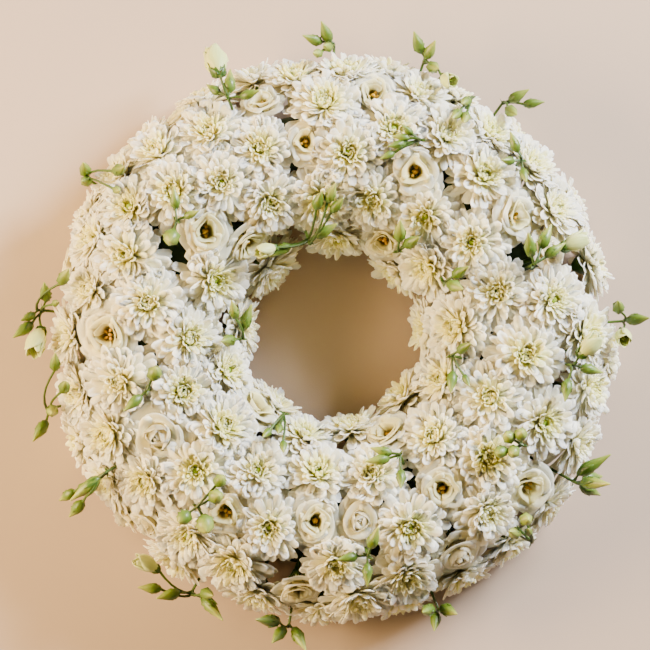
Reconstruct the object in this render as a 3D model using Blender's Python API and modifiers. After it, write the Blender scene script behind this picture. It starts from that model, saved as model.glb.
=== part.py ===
"""Chrysanthemum and lisianthus wreath on a wet floral foam ring in a plastic tray.

The wreath lies on its back: +Z is the way its flowers face, the photograph's up is +Y and its
right is +X. The origin is on the surface that it lies on, at the centre of the ring. Lengths are
in millimetres here and are turned into metres when a mesh is made.

A torus round the core circle, of radius RING_R at height CORE_Z, sets everything out. A place on
it is an angle round the ring and an angle round the tube. Heads sit at HEAD_RHO from the core
circle and all stems run straight towards it, so that each head keeps to a cell of its own.
"""

import math
import random

import bmesh
import bpy
import numpy as np

# Driving dimensions, in millimetres
RING_R = 143.5
CORE_Z = 24.0
HEAD_RHO = 70.0
TOP_RHO = 83.0
BUD_RHO = 86.0
FLOOR_Z = 4.0
STEPS = 26
FOAM_WIDTH = 70.0
FOAM_TOP = 54.0
FOAM_SHOULDER = 40.0
FOAM_DOME = 22.0
TRAY_WALL = 1.8
TRAY_LIP = 14.0
CLEAR = 0.32
MUM_R = 27.0
MUM_PETALS = 7
FLANK_PETALS = 6
LIS_PETALS = 5
OVERHANG = 0.7
STEM_R = 1.9
BUD_STEM_R = 1.15
PEDICEL_R = 0.8
STEM_END_RHO = 19.0
STEM_SIDES = 4
LINK_R = 1.3
LINK_SIDES = 3
TRAY_GAP = 0.45
SPRAYS = 7
SPRAY_PHI = 1.45
SEED = 94

# Half the room that each kind keeps to on the torus, in millimetres
MUM_SPACE = 22.5
FILL_SPACE = 21.0
BLOOM_SPACE = 18.5
STEM_SPACE = 3.5

# Distances between places on the torus, in millimetres
WIDEST_GAP = 17.5
NEIGHBOUR = 78.0
LONGEST_LINK = 62.0
LONGEST_PAIR = 52.0

# The photograph's scale and the ring's centre in it, in pixels
PIXEL = 0.8
PHOTO_X = 333.0
PHOTO_Y = 337.0

# Where flower centres are in the photograph, in pixels, read by eye
MUMS = """188,107 257,83 303,89 311,115 213,143 274,169 158,154 215,189 145,211 91,215 250,204
120,257 215,276 101,287 148,309 176,186 124,182 133,141 73,207 345,91 384,138 338,160 364,196
346,234 400,104 445,148 495,150 483,182 423,211 464,237 529,205 489,297 555,307 393,269 427,262
455,328 410,330 518,174 77,329 185,348 225,375 128,383 85,396 184,400 114,427 229,434 201,461
153,474 252,470 313,473 265,520 192,530 330,552 232,550 259,586 276,406 305,440 120,491 73,453
184,562 514,362 487,395 443,377 350,432 429,440 534,422 580,387 570,437 484,459 367,478 478,507
408,520 395,574 355,588 462,573 568,330"""

# Lisianthus: centre, radius, how far it leans right and up in hundredths, and how shut it is
BLOOMS = """175,132,21,-40,20,0 314,142,21,5,0,0 209,238,27,0,0,0 249,230,22,30,-25,0
78,256,22,-50,10,0 266,112,19,-10,10,0 410,177,24,0,0,0 379,108,22,0,-35,0 501,224,23,30,-20,0
375,238,21,25,35,0 543,250,19,20,10,1 122,342,26,10,-10,0 168,429,27,0,-20,1 245,406,24,10,10,0
230,513,22,0,0,0 303,518,23,5,-5,0 300,580,21,25,-30,0 100,524,22,-30,-25,1 153,520,21,-15,-25,1
386,441,24,-10,0,0 432,491,23,0,-10,0 517,486,23,-30,5,0 348,517,22,0,0,1 458,540,24,0,-15,1"""

# Bud sprays: where the stem comes out, then the middle and length of each bud. r is seen from its
# tip, and h is half open
BUDS = """104,196:87,172,24 88,184,22 123,177,24 121,198,16
233,122:216,68,40h 230,90,24 214,97,18 249,104,20
336,72:312,42,22 325,35,24 326,51,20 316,59,18
415,80:417,47,24 428,54,22 431,72,24 444,86,26h
488,122:508,116,24 515,98,22 531,105,20
458,120:462,108,20 450,124,20 459,127,20
505,176:511,158,20 500,169,18 516,183,18
398,156:398,146,16 392,156,18 411,149,14 382,165,16
520,272:536,244,24 522,262,26 545,257,22 563,248,30h
600,322:612,308,24 630,320,26 616,338,28h
552,366:573,355,30h 581,372,22 556,392,22
550,470:571,482,36 578,470,36 588,477,28 586,487,30
500,446:499,438,14r 511,440,14r 491,452,14r 507,449,14r
456,364:449,356,20 445,384,22 459,383,14
446,280:440,289,26 453,278,22
400,243:395,238,26 407,248,24
302,228:328,202,22 316,209,22 334,213,20 311,245,24 278,254,22 268,258,24h
224,346:234,314,20 246,323,26 228,344,26
180,228:177,208,20 189,225,16 174,246,18r
57,312:69,281,26 49,294,24 60,306,14 32,318,18 27,331,24 42,342,34h
76,402:60,364,22 70,388,24 56,411,26 44,430,24
147,390:158,377,16r 141,402,22
128,463:107,474,34 86,488,26 71,494,22 80,507,24
274,430:266,434,16 278,430,16 282,447,16
210,496:221,480,14r 217,495,16r 194,509,16r 207,521,20r
398,464:384,453,20 374,459,22 395,478,20
512,524:517,517,14r 506,530,24 521,528,16
362,544:367,541,24 344,554,20 363,562,20
187,580:153,585,22 170,591,24 209,590,24 213,604,32 150,562,28h
297,602:268,616,34 281,628,24 296,630,30
433,597:424,606,28 442,606,28 433,616,22"""


def unit(v):
    """A vector of length one in the same direction."""
    return v / np.linalg.norm(v)


def to_ring(px, py):
    """The two torus angles of a place in the photograph."""
    x, y = (px - PHOTO_X) * PIXEL, (PHOTO_Y - py) * PIXEL
    across = (math.hypot(x, y) - RING_R) / HEAD_RHO
    return math.atan2(y, x), min(max(math.acos(min(max(across, -1.0), 1.0)), 0.16), 2.95)


def on_tube(theta, phi, rho=HEAD_RHO):
    """The point at rho from the core circle, for numbers or arrays."""
    r = RING_R + rho * np.cos(phi)
    return np.stack([r * np.cos(theta), r * np.sin(theta), CORE_Z + rho * np.sin(phi)], -1)


def core_of(p):
    """The nearest point of the core circle."""
    r = math.hypot(p[0], p[1])
    return np.array([p[0] * RING_R / r, p[1] * RING_R / r, CORE_Z])


class Site:
    """A flower head, a bloom or a bud stem, with its place and its cell."""

    def __init__(self, kind, theta, phi, radius, lean=(0.0, 0.0), shut=0, buds=()):
        self.kind = kind
        self.theta = theta
        self.phi = phi
        self.radius = radius
        self.lean = lean
        self.shut = shut
        self.buds = buds
        self.rank = 0.0
        self.walls = []
        self.posts = []

    def settle(self):
        """Takes the final place and the way the flower faces."""
        self.c = on_tube(self.theta, self.phi, HEAD_RHO + 2.0 * self.rank)
        self.out = unit(self.c - core_of(self.c))
        self.n = unit(self.out + np.array([self.lean[0], self.lean[1], 0.0]))


def read_sites():
    """All sites that the photograph shows, from the three lists."""
    sites = []
    for word in MUMS.split():
        px, py = (float(v) for v in word.split(","))
        sites.append(Site("mum", *to_ring(px, py), MUM_SPACE))
    for word in BLOOMS.split():
        px, py, r, right, up, shut = (float(v) for v in word.split(","))
        lean = (right / 100, up / 100)
        site = Site("lis", *to_ring(px, py), BLOOM_SPACE, lean, int(shut))
        site.size = r * PIXEL
        sites.append(site)
    for line in BUDS.splitlines():
        base, buds = line.split(":")
        px, py = (float(v) for v in base.split(","))
        sites.append(Site("bud", *to_ring(px, py), STEM_SPACE, buds=tuple(buds.split())))
    return sites


def fill_flanks(sites):
    """Adds chrysanthemum heads where the widest gaps are, mostly low on both flanks."""
    theta, phi = np.meshgrid(
        np.linspace(-math.pi, math.pi, 240, endpoint=False), np.linspace(0.12, 2.95, 40)
    )
    theta, phi = theta.ravel(), phi.ravel()
    grid = on_tube(theta, phi)
    gap = np.full(len(grid), 1e9)
    for s in sites:
        gap = np.minimum(gap, np.linalg.norm(grid - on_tube(s.theta, s.phi), axis=1) - s.radius)
    while gap.max() > WIDEST_GAP:
        k = int(gap.argmax())
        sites.append(Site("fill", float(theta[k]), float(phi[k]), FILL_SPACE))
        gap = np.minimum(gap, np.linalg.norm(grid - grid[k], axis=1) - FILL_SPACE)


def spread(sites):
    """Pushes sites that crowd each other apart along the torus, and draws them home a little."""
    t = np.array([s.theta for s in sites])
    p = np.array([s.phi for s in sites])
    radius = np.array([s.radius for s in sites])
    listed = np.array([s.kind != "fill" for s in sites])[:, None]
    home = on_tube(t, p)
    for _ in range(80):
        at = on_tube(t, p)
        apart = at[:, None] - at[None]
        far = np.linalg.norm(apart, axis=2) + np.eye(len(sites)) * 1e9
        short = np.clip(0.97 * (radius[:, None] + radius[None]) - far, 0, None) * 0.25
        move = (apart / far[..., None] * short[..., None]).sum(1) + 0.05 * (home - at) * listed
        round_ring = np.stack([-np.sin(t), np.cos(t), 0 * t], -1)
        round_tube = np.stack([-np.sin(p) * np.cos(t), -np.sin(p) * np.sin(t), np.cos(p)], -1)
        t = t + (move * round_ring).sum(1) / (RING_R + HEAD_RHO * np.cos(p))
        p = np.clip(p + (move * round_tube).sum(1) / HEAD_RHO, 0.10, 3.0)
    for s, theta, phi in zip(sites, t, p, strict=True):
        s.theta, s.phi = float(theta), float(phi)
        s.settle()


def add_wall(a, b, at, lean, stems):
    """A plane between two sites through at, that a and b each keep half a gap away from.

    It runs inward to the core circle, so that straight stems stay on their own side. A plane for
    petals leans, so that the outer petals of the site with the higher rank hang over the other's.
    """
    inward = -b.out if b.kind == "bud" and a.kind != "bud" else unit(core_of(at) - at)
    across = b.c - a.c
    across = unit(across - across.dot(inward) * inward)
    normal = math.cos(lean) * across + math.sin(lean) * inward
    half = CLEAR / 2
    (a.posts if stems else a.walls).append((normal, normal.dot(at) - half, b))
    (b.posts if stems else b.walls).append((-normal, -normal.dot(at) - half, a))


def build_cells(sites):
    """Gives each site the walls between it and its neighbours, and the floor."""
    for i, a in enumerate(sites):
        for b in sites[i + 1 :]:
            if np.linalg.norm(a.c - b.c) > NEIGHBOUR:
                continue
            if b.kind == "bud" and a.kind != "bud":
                at = b.c + (BUD_STEM_R + CLEAR + 0.2) * unit(a.c - b.c)
                add_wall(a, b, at, 0.0, False)
                continue
            at = a.c + (b.c - a.c) * a.radius / (a.radius + b.radius)
            add_wall(a, b, at, OVERHANG * min(max(a.rank - b.rank, -1.0), 1.0), False)
            add_wall(a, b, at, 0.0, True)
    for s in sites:
        s.walls.append((np.array([0.0, 0.0, -1.0]), -FLOOR_Z, None))


def reach(site, d, w):
    """How far the cell goes from the site's axis along d, at height w on the axis."""
    most = 1e9
    for normal, limit, _ in site.walls:
        slope = normal.dot(d)
        if slope > 1e-6:
            most = min(most, (limit - normal.dot(site.c + w * site.n)) / slope)
    return max(most, 0.5)


def room(p, walls, skip=()):
    """How far inside some walls p is, leaving out those towards the sites in skip."""
    return min(limit - n.dot(p) for n, limit, other in walls if other not in skip)


def link_is_clear(a, b, margin):
    """Whether a straight rod between two heads, under their petals, keeps to their cells."""
    start, end = hub(a), hub(b)
    wall = next((w for w in a.posts if w[2] is b), None)
    if wall is None:
        return False
    for k in range(21):
        p = start + (end - start) * k / 20
        side = wall[1] - wall[0].dot(p)
        if side > -margin - 1 and room(p, a.walls + a.posts, (b,)) < margin:
            return False
        if side < margin + 1 and room(p, b.walls + b.posts, (a,)) < margin:
            return False
    return True


def hub(site):
    """Where a head's stem and links meet, well inside its base."""
    return site.c - 0.2 * site.size * site.out


def stem_foot(site):
    """Where a site's stem ends, deep in the foam."""
    return site.c - site.out * (HEAD_RHO - STEM_END_RHO)


def best_reach(site, d):
    """How long and how high a petal's tip can be in a direction, level if there is room."""
    best = (0.0, 0.0)
    for w in (0.02, 0.12, -0.08, 0.22, -0.18, -0.28):
        long = reach(site, d, w * site.size)
        if long >= site.size:
            return site.size, w
        if long > best[0] + 0.3:
            best = (long, w)
    return best


def held(site, d, k, w):
    """A point of a head at k of its size from its axis along d and w high, inside its cell."""
    size = site.size
    p = site.c + site.n * (size * w) + d * (size * k)
    over = np.linalg.norm(p - core_of(p)) - TOP_RHO
    if over > 0:
        w -= 1.05 * over / size
    return site.c + site.n * (size * w) + d * min(size * k, reach(site, d, size * w))


def long_petal(site, parent):
    """Where the petal that joins a head to its parent ends, inside the parent's base."""
    back = site.c - parent.c
    back = unit(back - back.dot(parent.out) * parent.out)
    return parent.c + parent.size * (0.38 * back - 0.06 * parent.out)


def mum_petals(site, parent, draw):
    """The petals' middle angles and the two directions they are measured from."""
    e1, e2 = frame_of(site.n)
    count = FLANK_PETALS if site.kind == "fill" or site.out[2] < 0.68 else MUM_PETALS
    step = 2 * math.pi / count
    start = draw.uniform(0, step) if draw else 0.0
    if parent is not None:
        to = long_petal(site, parent) - site.c
        start = math.atan2(to.dot(e2), to.dot(e1))
    wobble = [draw.uniform(-0.1, 0.1) if draw and k else 0.0 for k in range(count)]
    return e1, e2, [start + step * (k + wobble[k]) for k in range(count)]


def petal_fits(site, parent):
    """Whether a head's long petal gets to its parent through the wall that they share."""
    wall = next((w for w in site.walls if w[2] is parent), None)
    if wall is None:
        return False
    tip = long_petal(site, parent)
    e1, e2, mids = mum_petals(site, parent, None)
    normal, limit = wall[0], wall[1] + CLEAR / 2
    if normal.dot(tip) - limit < 1.0:
        return False
    half = math.pi / len(mids)
    ends = [site.c - 0.42 * site.size * site.n]
    for turn in (-1.25 * half, -0.8 * half, 0.8 * half, 1.25 * half):
        a = mids[0] + turn
        d = math.cos(a) * e1 + math.sin(a) * e2
        long, w = best_reach(site, d)
        ends.append(held(site, d, 0.86 * long / site.size, w - 0.08))
        ends.append(held(site, d, min(0.5, 0.6 * long / site.size), 0.10))
    for p in ends:
        share = (limit - normal.dot(p)) / normal.dot(tip - p)
        at = p + share * (tip - p)
        if room(at, site.walls, (parent,)) < 0.2 or room(at, parent.walls, (site,)) < 0.2:
            return False
    return room(tip, parent.walls, (site,)) > 0.5


def group(sites, seeds):
    """Grows one group from each seed, the smallest first, over heads whose petals can meet."""
    groups = [[(s, None)] for s in seeds]
    left = [s for s in sites if s not in seeds]
    near = {}
    for a in left + list(seeds):
        for b in left:
            if a is not b and np.linalg.norm(a.c - b.c) < LONGEST_LINK:
                near[(id(a), id(b))] = petal_fits(b, a)
    stuck = set()
    while left and len(stuck) < len(groups):
        g = min((k for k in range(len(groups)) if k not in stuck), key=lambda k: len(groups[k]))
        best = None
        for a, _ in groups[g]:
            for b in left:
                if near.get((id(a), id(b))):
                    far = np.linalg.norm(a.c - b.c) + 0.3 * np.linalg.norm(groups[g][0][0].c - b.c)
                    if best is None or far < best[0]:
                        best = (far, a, b)
        if best is None:
            stuck.add(g)
            continue
        _, a, b = best
        groups[g].append((b, a))
        left = [s for s in left if s is not b]
    return groups, left


def group_rest(groups, left):
    """Adds the heads that are left to the groups by short rods under their petals."""
    rods = [[] for _ in groups]
    while left:
        found = None
        for k, members in enumerate(groups):
            for a, _ in members:
                for b in left:
                    far = np.linalg.norm(a.c - b.c)
                    if far < LONGEST_LINK and (found is None or far < found[0]):
                        if link_is_clear(a, b, LINK_R + 0.35):
                            found = (far, k, a, b)
        if found is None:
            break
        _, k, a, b = found
        groups[k].append((b, None))
        rods[k].append((a, b))
        left = [s for s in left if s is not b]
    return rods, left


class Solid:
    """Points and triangles of one closed piece, lofted ring by ring."""

    def __init__(self):
        self.points = []
        self.faces = []

    def ring(self, points, angles):
        """Adds a ring of points and gives their numbers and angles."""
        first = len(self.points)
        self.points.extend(points)
        return [(first + k, angles[k]) for k in range(len(points))]

    def loft(self, low, high):
        """Joins two rings that run the same way, taking the next point by its angle."""
        i = j = 0
        n, m = len(low), len(high)
        shift = round((low[0][1] - high[0][1]) / (2 * math.pi)) * 2 * math.pi
        turn = 2 * math.pi

        def angle(ring, k, size, add):
            return ring[k % size][1] + turn * (k // size) + add

        while i < n or j < m:
            next_low = angle(low, i + 1, n, 0.0) if i < n else 1e9
            next_high = angle(high, j + 1, m, shift) if j < m else 1e9
            take_low = next_low < next_high - 1e-7
            if abs(next_low - next_high) <= 1e-7:
                take_low = n < m
            a, b = low[i % n][0], high[j % m][0]
            if take_low:
                self.faces.append((a, low[(i + 1) % n][0], b))
                i += 1
            else:
                self.faces.append((a, high[(j + 1) % m][0], b))
                j += 1

    def close(self, ring, point, top):
        """Closes an end with a fan of triangles round a point."""
        self.points.append(point)
        tip = len(self.points) - 1
        for k in range(len(ring)):
            a, b = ring[k][0], ring[(k + 1) % len(ring)][0]
            self.faces.append((a, b, tip) if top else (b, a, tip))

    def cap(self, ring, top):
        """Closes an end with one flat face."""
        ids = [r[0] for r in ring]
        self.faces.append(tuple(ids) if top else tuple(reversed(ids)))


def frame_of(n):
    """Two directions square to n, which turn with it by the right-hand rule."""
    side = np.array([0.0, 0.0, 1.0]) if abs(n[2]) < 0.9 else np.array([1.0, 0.0, 0.0])
    e1 = unit(side - side.dot(n) * n)
    return e1, np.cross(n, e1)


def rod(p0, p1, r0, r1, sides, side=None):
    """A straight round stem as a closed prism, with its first corner towards side."""
    n = unit(p1 - p0)
    e1, e2 = frame_of(n)
    if side is not None:
        e1, e2 = side, np.cross(n, side)
    solid = Solid()
    rings = []
    angles = [2 * math.pi * k / sides for k in range(sides)]
    for p, r in ((p0, r0), (p1, r1)):
        points = [p + r * (math.cos(a) * e1 + math.sin(a) * e2) for a in angles]
        rings.append(solid.ring(points, angles))
    solid.cap(rings[0], top=False)
    solid.loft(rings[0], rings[1])
    solid.cap(rings[1], top=True)
    return solid


def mum_head(site, parent, draw):
    """Two tiers of petals on a cone-shaped base, with a small eye."""
    e1, e2, mids = mum_petals(site, parent, draw)
    count = len(mids)
    turn = 2 * math.pi
    gaps = [(a + b) / 2 for a, b in zip(mids, mids[1:] + [mids[0] + turn], strict=True)]
    across = {}
    for a in mids + gaps:
        d = math.cos(a) * e1 + math.sin(a) * e2
        long, w = best_reach(site, d)
        across[a] = (d, long / site.size, w)
    rings = [([], []), ([], []), ([], []), ([], [])]

    def put(ring, angle, point):
        rings[ring][0].append(point)
        rings[ring][1].append(angle)

    inner = {}
    for k in range(count):
        mid, gap = mids[k], gaps[k]
        d, long, w = across[mid]
        if k == 0 and parent is not None:
            put(0, mid, long_petal(site, parent))
        else:
            put(0, mid, held(site, d, long * draw.uniform(0.94, 1.0), w))
        d, long, w = across[gap]
        put(0, gap, held(site, d, 0.86 * long, w - 0.08))
        upper = min(0.80 * draw.uniform(0.94, 1.04), 0.84 * long)
        tip = held(site, d, upper, 0.27)
        got = (tip - site.c).dot(d) / site.size
        put(1, gap, held(site, d, min(0.50, 0.62 * long, 0.78 * got), 0.10))
        put(2, gap, tip)
        after = mids[(k + 1) % count]
        d, long, _ = across[after]
        notch = held(site, d, min(0.60, 0.64 * long), 0.17)
        put(2, after if after > gap else after + turn, notch)
        inner[after] = min(0.32, 0.62 * (notch - site.c).dot(d) / site.size)
    for mid in mids:
        put(3, mid, held(site, across[mid][0], inner[mid], 0.21))
    solid = Solid()
    last = None
    for points, angles in rings:
        ring = solid.ring(points, angles)
        if last is None:
            solid.close(ring, site.c - site.n * (0.42 * site.size), top=False)
        else:
            solid.loft(last, ring)
        last = ring
    solid.close(last, held(site, e1, 0.0, 0.33), top=True)
    return solid


def lis_bloom(site, draw):
    """A ruffled cup with a second cup in it, open to a throat or rolled shut."""
    e1, e2 = frame_of(site.n)
    step = 2 * math.pi / LIS_PETALS
    start = draw.uniform(0, step)
    mids = [start + step * (k + draw.uniform(-0.08, 0.08)) for k in range(LIS_PETALS)]
    gaps = [(a + b) / 2 for a, b in zip(mids, mids[1:] + [mids[0] + 2 * math.pi], strict=True)]
    # Each row: at the petals' middles (0) or between them (1), how wide, how high, and the same
    # for the notches after them
    rows = [
        (0, 0.46, -0.45),
        (0, 1.00, 0.38, 0.86, 0.20),
        (1, 0.62, 0.16),
        (1, 0.68, 0.50, 0.50, 0.34),
        (0, 0.26, 0.34 if site.shut else -0.10),
    ]
    solid = Solid()
    last = None
    for row in rows:
        tips, others = (mids, gaps) if row[0] == 0 else (gaps, mids)
        points, angles = [], []
        for k in range(LIS_PETALS):
            d = math.cos(tips[k]) * e1 + math.sin(tips[k]) * e2
            points.append(held(site, d, row[1], row[2]))
            angles.append(tips[k])
            if len(row) > 3:
                after = others[k] if row[0] == 0 else others[(k + 1) % LIS_PETALS]
                after = after if after > tips[k] else after + 2 * math.pi
                d = math.cos(after) * e1 + math.sin(after) * e2
                points.append(held(site, d, row[3], row[4]))
                angles.append(after)
        ring = solid.ring(points, angles)
        if last is None:
            solid.close(ring, site.c - site.n * (0.85 * site.size), top=False)
        else:
            solid.loft(last, ring)
        last = ring
    solid.close(last, held(site, e1, 0.0, 0.52 if site.shut else 0.12), top=True)
    return solid


def bud_place(px, py, lift):
    """A point over the flowers at a place in the photograph, or out past their edge."""
    x, y = (px - PHOTO_X) * PIXEL, (PHOTO_Y - py) * PIXEL
    r = math.hypot(x, y)
    rho = BUD_RHO + lift
    z = CORE_Z + math.sqrt(max(rho * rho - (r - RING_R) ** 2, (0.26 * rho) ** 2))
    return np.array([x, y, z])


class Bud:
    """One bud: where its pedicel leaves the stem, its middle, length and half width."""

    def __init__(self, word, fork):
        self.kind = word[-1] if word[-1] in "rh" else ""
        px, py, long = (float(v) for v in word.rstrip("rh").split(","))
        self.fork = fork
        self.long = long * PIXEL
        self.wide = self.long * {"": 0.19, "r": 0.34, "h": 0.27}[self.kind]
        self.middle = bud_place(px, py, self.wide + 1.5)
        self.place()

    def place(self):
        """Takes its base and direction from its middle, clear of its fork and of the flowers."""
        short = self.long * 0.5 + 6.5 - np.linalg.norm(self.middle - self.fork)
        if short > 0:
            self.middle = self.middle + short * unit(self.middle - self.fork)
        away = unit(self.middle - core_of(self.middle))
        lift = 1.2 if self.kind == "r" else 0.15
        self.along = unit(unit(self.middle - self.fork) + lift * away)
        self.base = self.middle - self.along * self.long * 0.5
        low = np.linalg.norm(self.base - core_of(self.base)) - BUD_RHO - 1.6
        if low < 0:
            self.base = self.base - low * unit(self.base - core_of(self.base))

    def balls(self):
        """A few balls that its pedicel and the bud itself lie in."""
        found = [((self.fork + 2 * self.base) / 3, PEDICEL_R), (self.base, PEDICEL_R)]
        for t, share in ((0.25, 0.8), (0.5, 1.0), (0.75, 0.7)):
            found.append((self.base + self.along * self.long * t, self.wide * share))
        return found

    def part_from(self, other):
        """Moves two buds of a spray apart until they no longer touch."""
        best = (0.0, None)
        for p, r in self.balls():
            for q, t in other.balls():
                over = np.linalg.norm(p - q) - r - t - 0.9
                if over < best[0]:
                    best = (over, p - q)
        if best[1] is not None:
            push = unit(best[1] + 0.01) * (-0.5 * best[0])
            self.middle = self.middle + push
            other.middle = other.middle - push


def bud(site, b, foot=None):
    """A pedicel with a bud on its end, lofted from the fork, or from the stem's foot."""
    to_base = unit(b.base - b.fork)
    side = unit(np.cross(site.out, to_base))
    solid = Solid()

    def ring(p, r, sides, way, spin=0.0):
        e1 = unit(side - side.dot(way) * way)
        e2 = np.cross(way, e1)
        angles = [spin + 2 * math.pi * k / sides for k in range(sides)]
        return solid.ring([p + r * (math.cos(a) * e1 + math.sin(a) * e2) for a in angles], angles)

    def along(t, wide, sides, spin):
        return ring(b.base + b.along * b.long * t, b.wide * wide, sides, b.along, spin)

    if foot is None:
        rings = [ring(b.fork - 0.3 * to_base, PEDICEL_R, 3, to_base)]
        rings.append(ring(b.base, PEDICEL_R, 3, b.along))
    else:
        rings = [ring(foot, BUD_STEM_R, 4, site.out)]
        rings.append(ring(b.fork, BUD_STEM_R, 4, unit(site.out + to_base)))
        rings.append(ring(b.base, PEDICEL_R, 4, b.along))
    if b.kind == "h":
        rings.append(along(0.28, 0.85, 4, 0.2))
        rings.append(along(0.66, 1.0, 5, 0.5))
        rings.append(along(0.98, 0.72, 5, 0.9))
    else:
        rings.append(along(0.24, 0.80, 4, 0.2))
        rings.append(along(0.56, 1.0, 4, 0.6))
    solid.cap(rings[0], top=False)
    for low, high in zip(rings, rings[1:], strict=False):
        solid.loft(low, high)
    end = 0.84 if b.kind == "h" else 1.0
    solid.close(rings[-1], b.base + b.along * b.long * end, top=True)
    return solid, side


def bud_spray(site):
    """A stem from the foam that ends in one bud, with the other buds' pedicels up its top."""
    levels = max(len(site.buds) // 2, 1)
    buds = []
    for k, word in enumerate(site.buds):
        level = levels if k == 0 else (k - 1) % levels
        fork = site.c + site.out * (BUD_RHO + 1.2 + 2.1 * level - HEAD_RHO)
        buds.append(Bud(word, fork))
    for _ in range(60):
        for k, a in enumerate(buds):
            for b in buds[k + 1 :]:
                a.part_from(b)
        for b in buds:
            b.place()
    first, side = bud(site, buds[0], stem_foot(site))
    return [first] + [bud(site, b)[0] for b in buds[1:]], side


def material(name, colour, rough):
    """A plain material with a colour and a roughness."""
    m = bpy.data.materials.new(name)
    m.use_nodes = True
    shader = next(n for n in m.node_tree.nodes if n.type == "BSDF_PRINCIPLED")
    shader.inputs["Base Color"].default_value = (*colour, 1.0)
    shader.inputs["Roughness"].default_value = rough
    return m


def make_object(name, solids):
    """An object from one or more closed solids, in metres, with its faces turned outward."""
    verts, faces = [], []
    for solid in solids:
        first = len(verts)
        verts.extend([tuple(float(v) * 0.001 for v in p) for p in solid.points])
        faces.extend([tuple(first + k for k in f) for f in solid.faces])
    mesh = bpy.data.meshes.new(name)
    mesh.from_pydata(verts, [], faces)
    bm = bmesh.new()
    bm.from_mesh(mesh)
    bmesh.ops.recalc_face_normals(bm, faces=bm.faces)
    bmesh.ops.triangulate(bm, faces=bm.faces)
    bm.to_mesh(mesh)
    bm.free()
    ob = bpy.data.objects.new(name, mesh)
    bpy.context.scene.collection.objects.link(ob)
    return ob


def apply_modifiers(ob):
    """Applies the object's modifiers in order."""
    bpy.context.view_layer.objects.active = ob
    for m in list(ob.modifiers):
        bpy.ops.object.modifier_apply(modifier=m.name)


def join_node(name, solids, look):
    """One closed body from overlapping solids, by one union on a collection."""
    ob = make_object(name, solids[:1])
    if len(solids) > 1:
        others = bpy.data.collections.new(name + "_pieces")
        for solid in solids[1:]:
            piece = make_object(name + "_piece", [solid])
            bpy.context.scene.collection.objects.unlink(piece)
            others.objects.link(piece)
        union = ob.modifiers.new("union", "BOOLEAN")
        union.operation = "UNION"
        union.operand_type = "COLLECTION"
        union.collection = others
        union.solver = "MANIFOLD"
        apply_modifiers(ob)
        for piece in list(others.objects):
            bpy.data.objects.remove(piece)
        bpy.data.collections.remove(others)
    ob.data.materials.clear()
    ob.data.materials.append(look)
    return ob


def revolve(name, profile, look):
    """A ring turned from a closed profile of radius and height."""
    mesh = bpy.data.meshes.new(name)
    edges = [(k, (k + 1) % len(profile)) for k in range(len(profile))]
    mesh.from_pydata([(r * 0.001, 0.0, z * 0.001) for r, z in profile], edges, [])
    ob = bpy.data.objects.new(name, mesh)
    bpy.context.scene.collection.objects.link(ob)
    turn = ob.modifiers.new("turn", "SCREW")
    turn.axis = "Z"
    turn.angle = 2 * math.pi
    turn.steps = STEPS
    turn.render_steps = STEPS
    turn.use_merge_vertices = True
    turn.merge_threshold = 0.00001
    apply_modifiers(ob)
    bm = bmesh.new()
    bm.from_mesh(ob.data)
    bmesh.ops.recalc_face_normals(bm, faces=bm.faces)
    bm.to_mesh(ob.data)
    bm.free()
    ob.data.materials.append(look)
    return ob


def lay_out(draw):
    """All sites with their places, sizes and cells."""
    sites = read_sites()
    fill_flanks(sites)
    spread(sites)
    for s in sites:
        if s.kind in ("mum", "fill"):
            s.size = MUM_R * draw.uniform(0.94, 1.06)
            s.rank = draw.uniform(-0.6, 0.6)
        s.settle()
    build_cells(sites)
    return sites


def chrysanthemum_sprays(sites, draw, look):
    """Groups the heads to sprays, makes a node of each and gives the stems that stand in the foam."""
    heads = [s for s in sites if s.kind in ("mum", "fill")]
    seeds = []
    for k in range(SPRAYS):
        aim = on_tube(2 * math.pi * (k + 0.5) / SPRAYS, SPRAY_PHI)
        seeds.append(min(heads, key=lambda s, aim=aim: np.linalg.norm(s.c - aim)))
    groups, left = group(heads, seeds)
    rods, left = group_rest(groups, left)
    stems = []
    for number, (members, links) in enumerate(zip(groups, rods, strict=True), 1):
        solids = [mum_head(s, parent, draw) for s, parent in members]
        solids += [rod(hub(a), hub(b), LINK_R, LINK_R, LINK_SIDES) for a, b in links]
        first = members[0][0]
        last = max((s for s, _ in members), key=lambda s, c=first.c: np.linalg.norm(s.c - c))
        for s in (first, last):
            solids.append(rod(stem_foot(s), hub(s), STEM_R, STEM_R, STEM_SIDES))
            stems.append((s, STEM_R, None))
        join_node(f"chrysanthemum_spray_{number:02d}", solids, look)
    return stems


def lisianthus_blooms(sites, draw, look):
    """Makes a node of each bloom, or of two side by side, and gives the stems that carry them."""
    blooms = [s for s in sites if s.kind == "lis"]
    pairs = []
    free = list(blooms)
    for a in blooms:
        for b in blooms:
            if a in free and b in free and a is not b:
                near = np.linalg.norm(a.c - b.c) < LONGEST_PAIR
                if near and link_is_clear(a, b, LINK_R + 0.5):
                    pairs.append([a, b])
                    free = [s for s in free if s is not a and s is not b]
    stems = []
    for number, members in enumerate(pairs + [[s] for s in free], 1):
        solids = [lis_bloom(s, draw) for s in members]
        for other in members[1:]:
            solids.append(rod(hub(members[0]), hub(other), LINK_R, LINK_R, LINK_SIDES))
        s = members[0]
        solids.append(rod(stem_foot(s), hub(s), STEM_R, STEM_R, STEM_SIDES))
        stems.append((s, STEM_R, None))
        join_node(f"lisianthus_bloom_{number:02d}", solids, look)
    return stems


def bud_sprays(sites, look):
    """Makes a node of each bud spray and gives the stems that stand in the foam."""
    stems = []
    for number, s in enumerate([s for s in sites if s.kind == "bud"], 1):
        solids, side = bud_spray(s)
        stems.append((s, BUD_STEM_R, side))
        join_node(f"bud_spray_{number:02d}", solids, look)
    return stems


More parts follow.
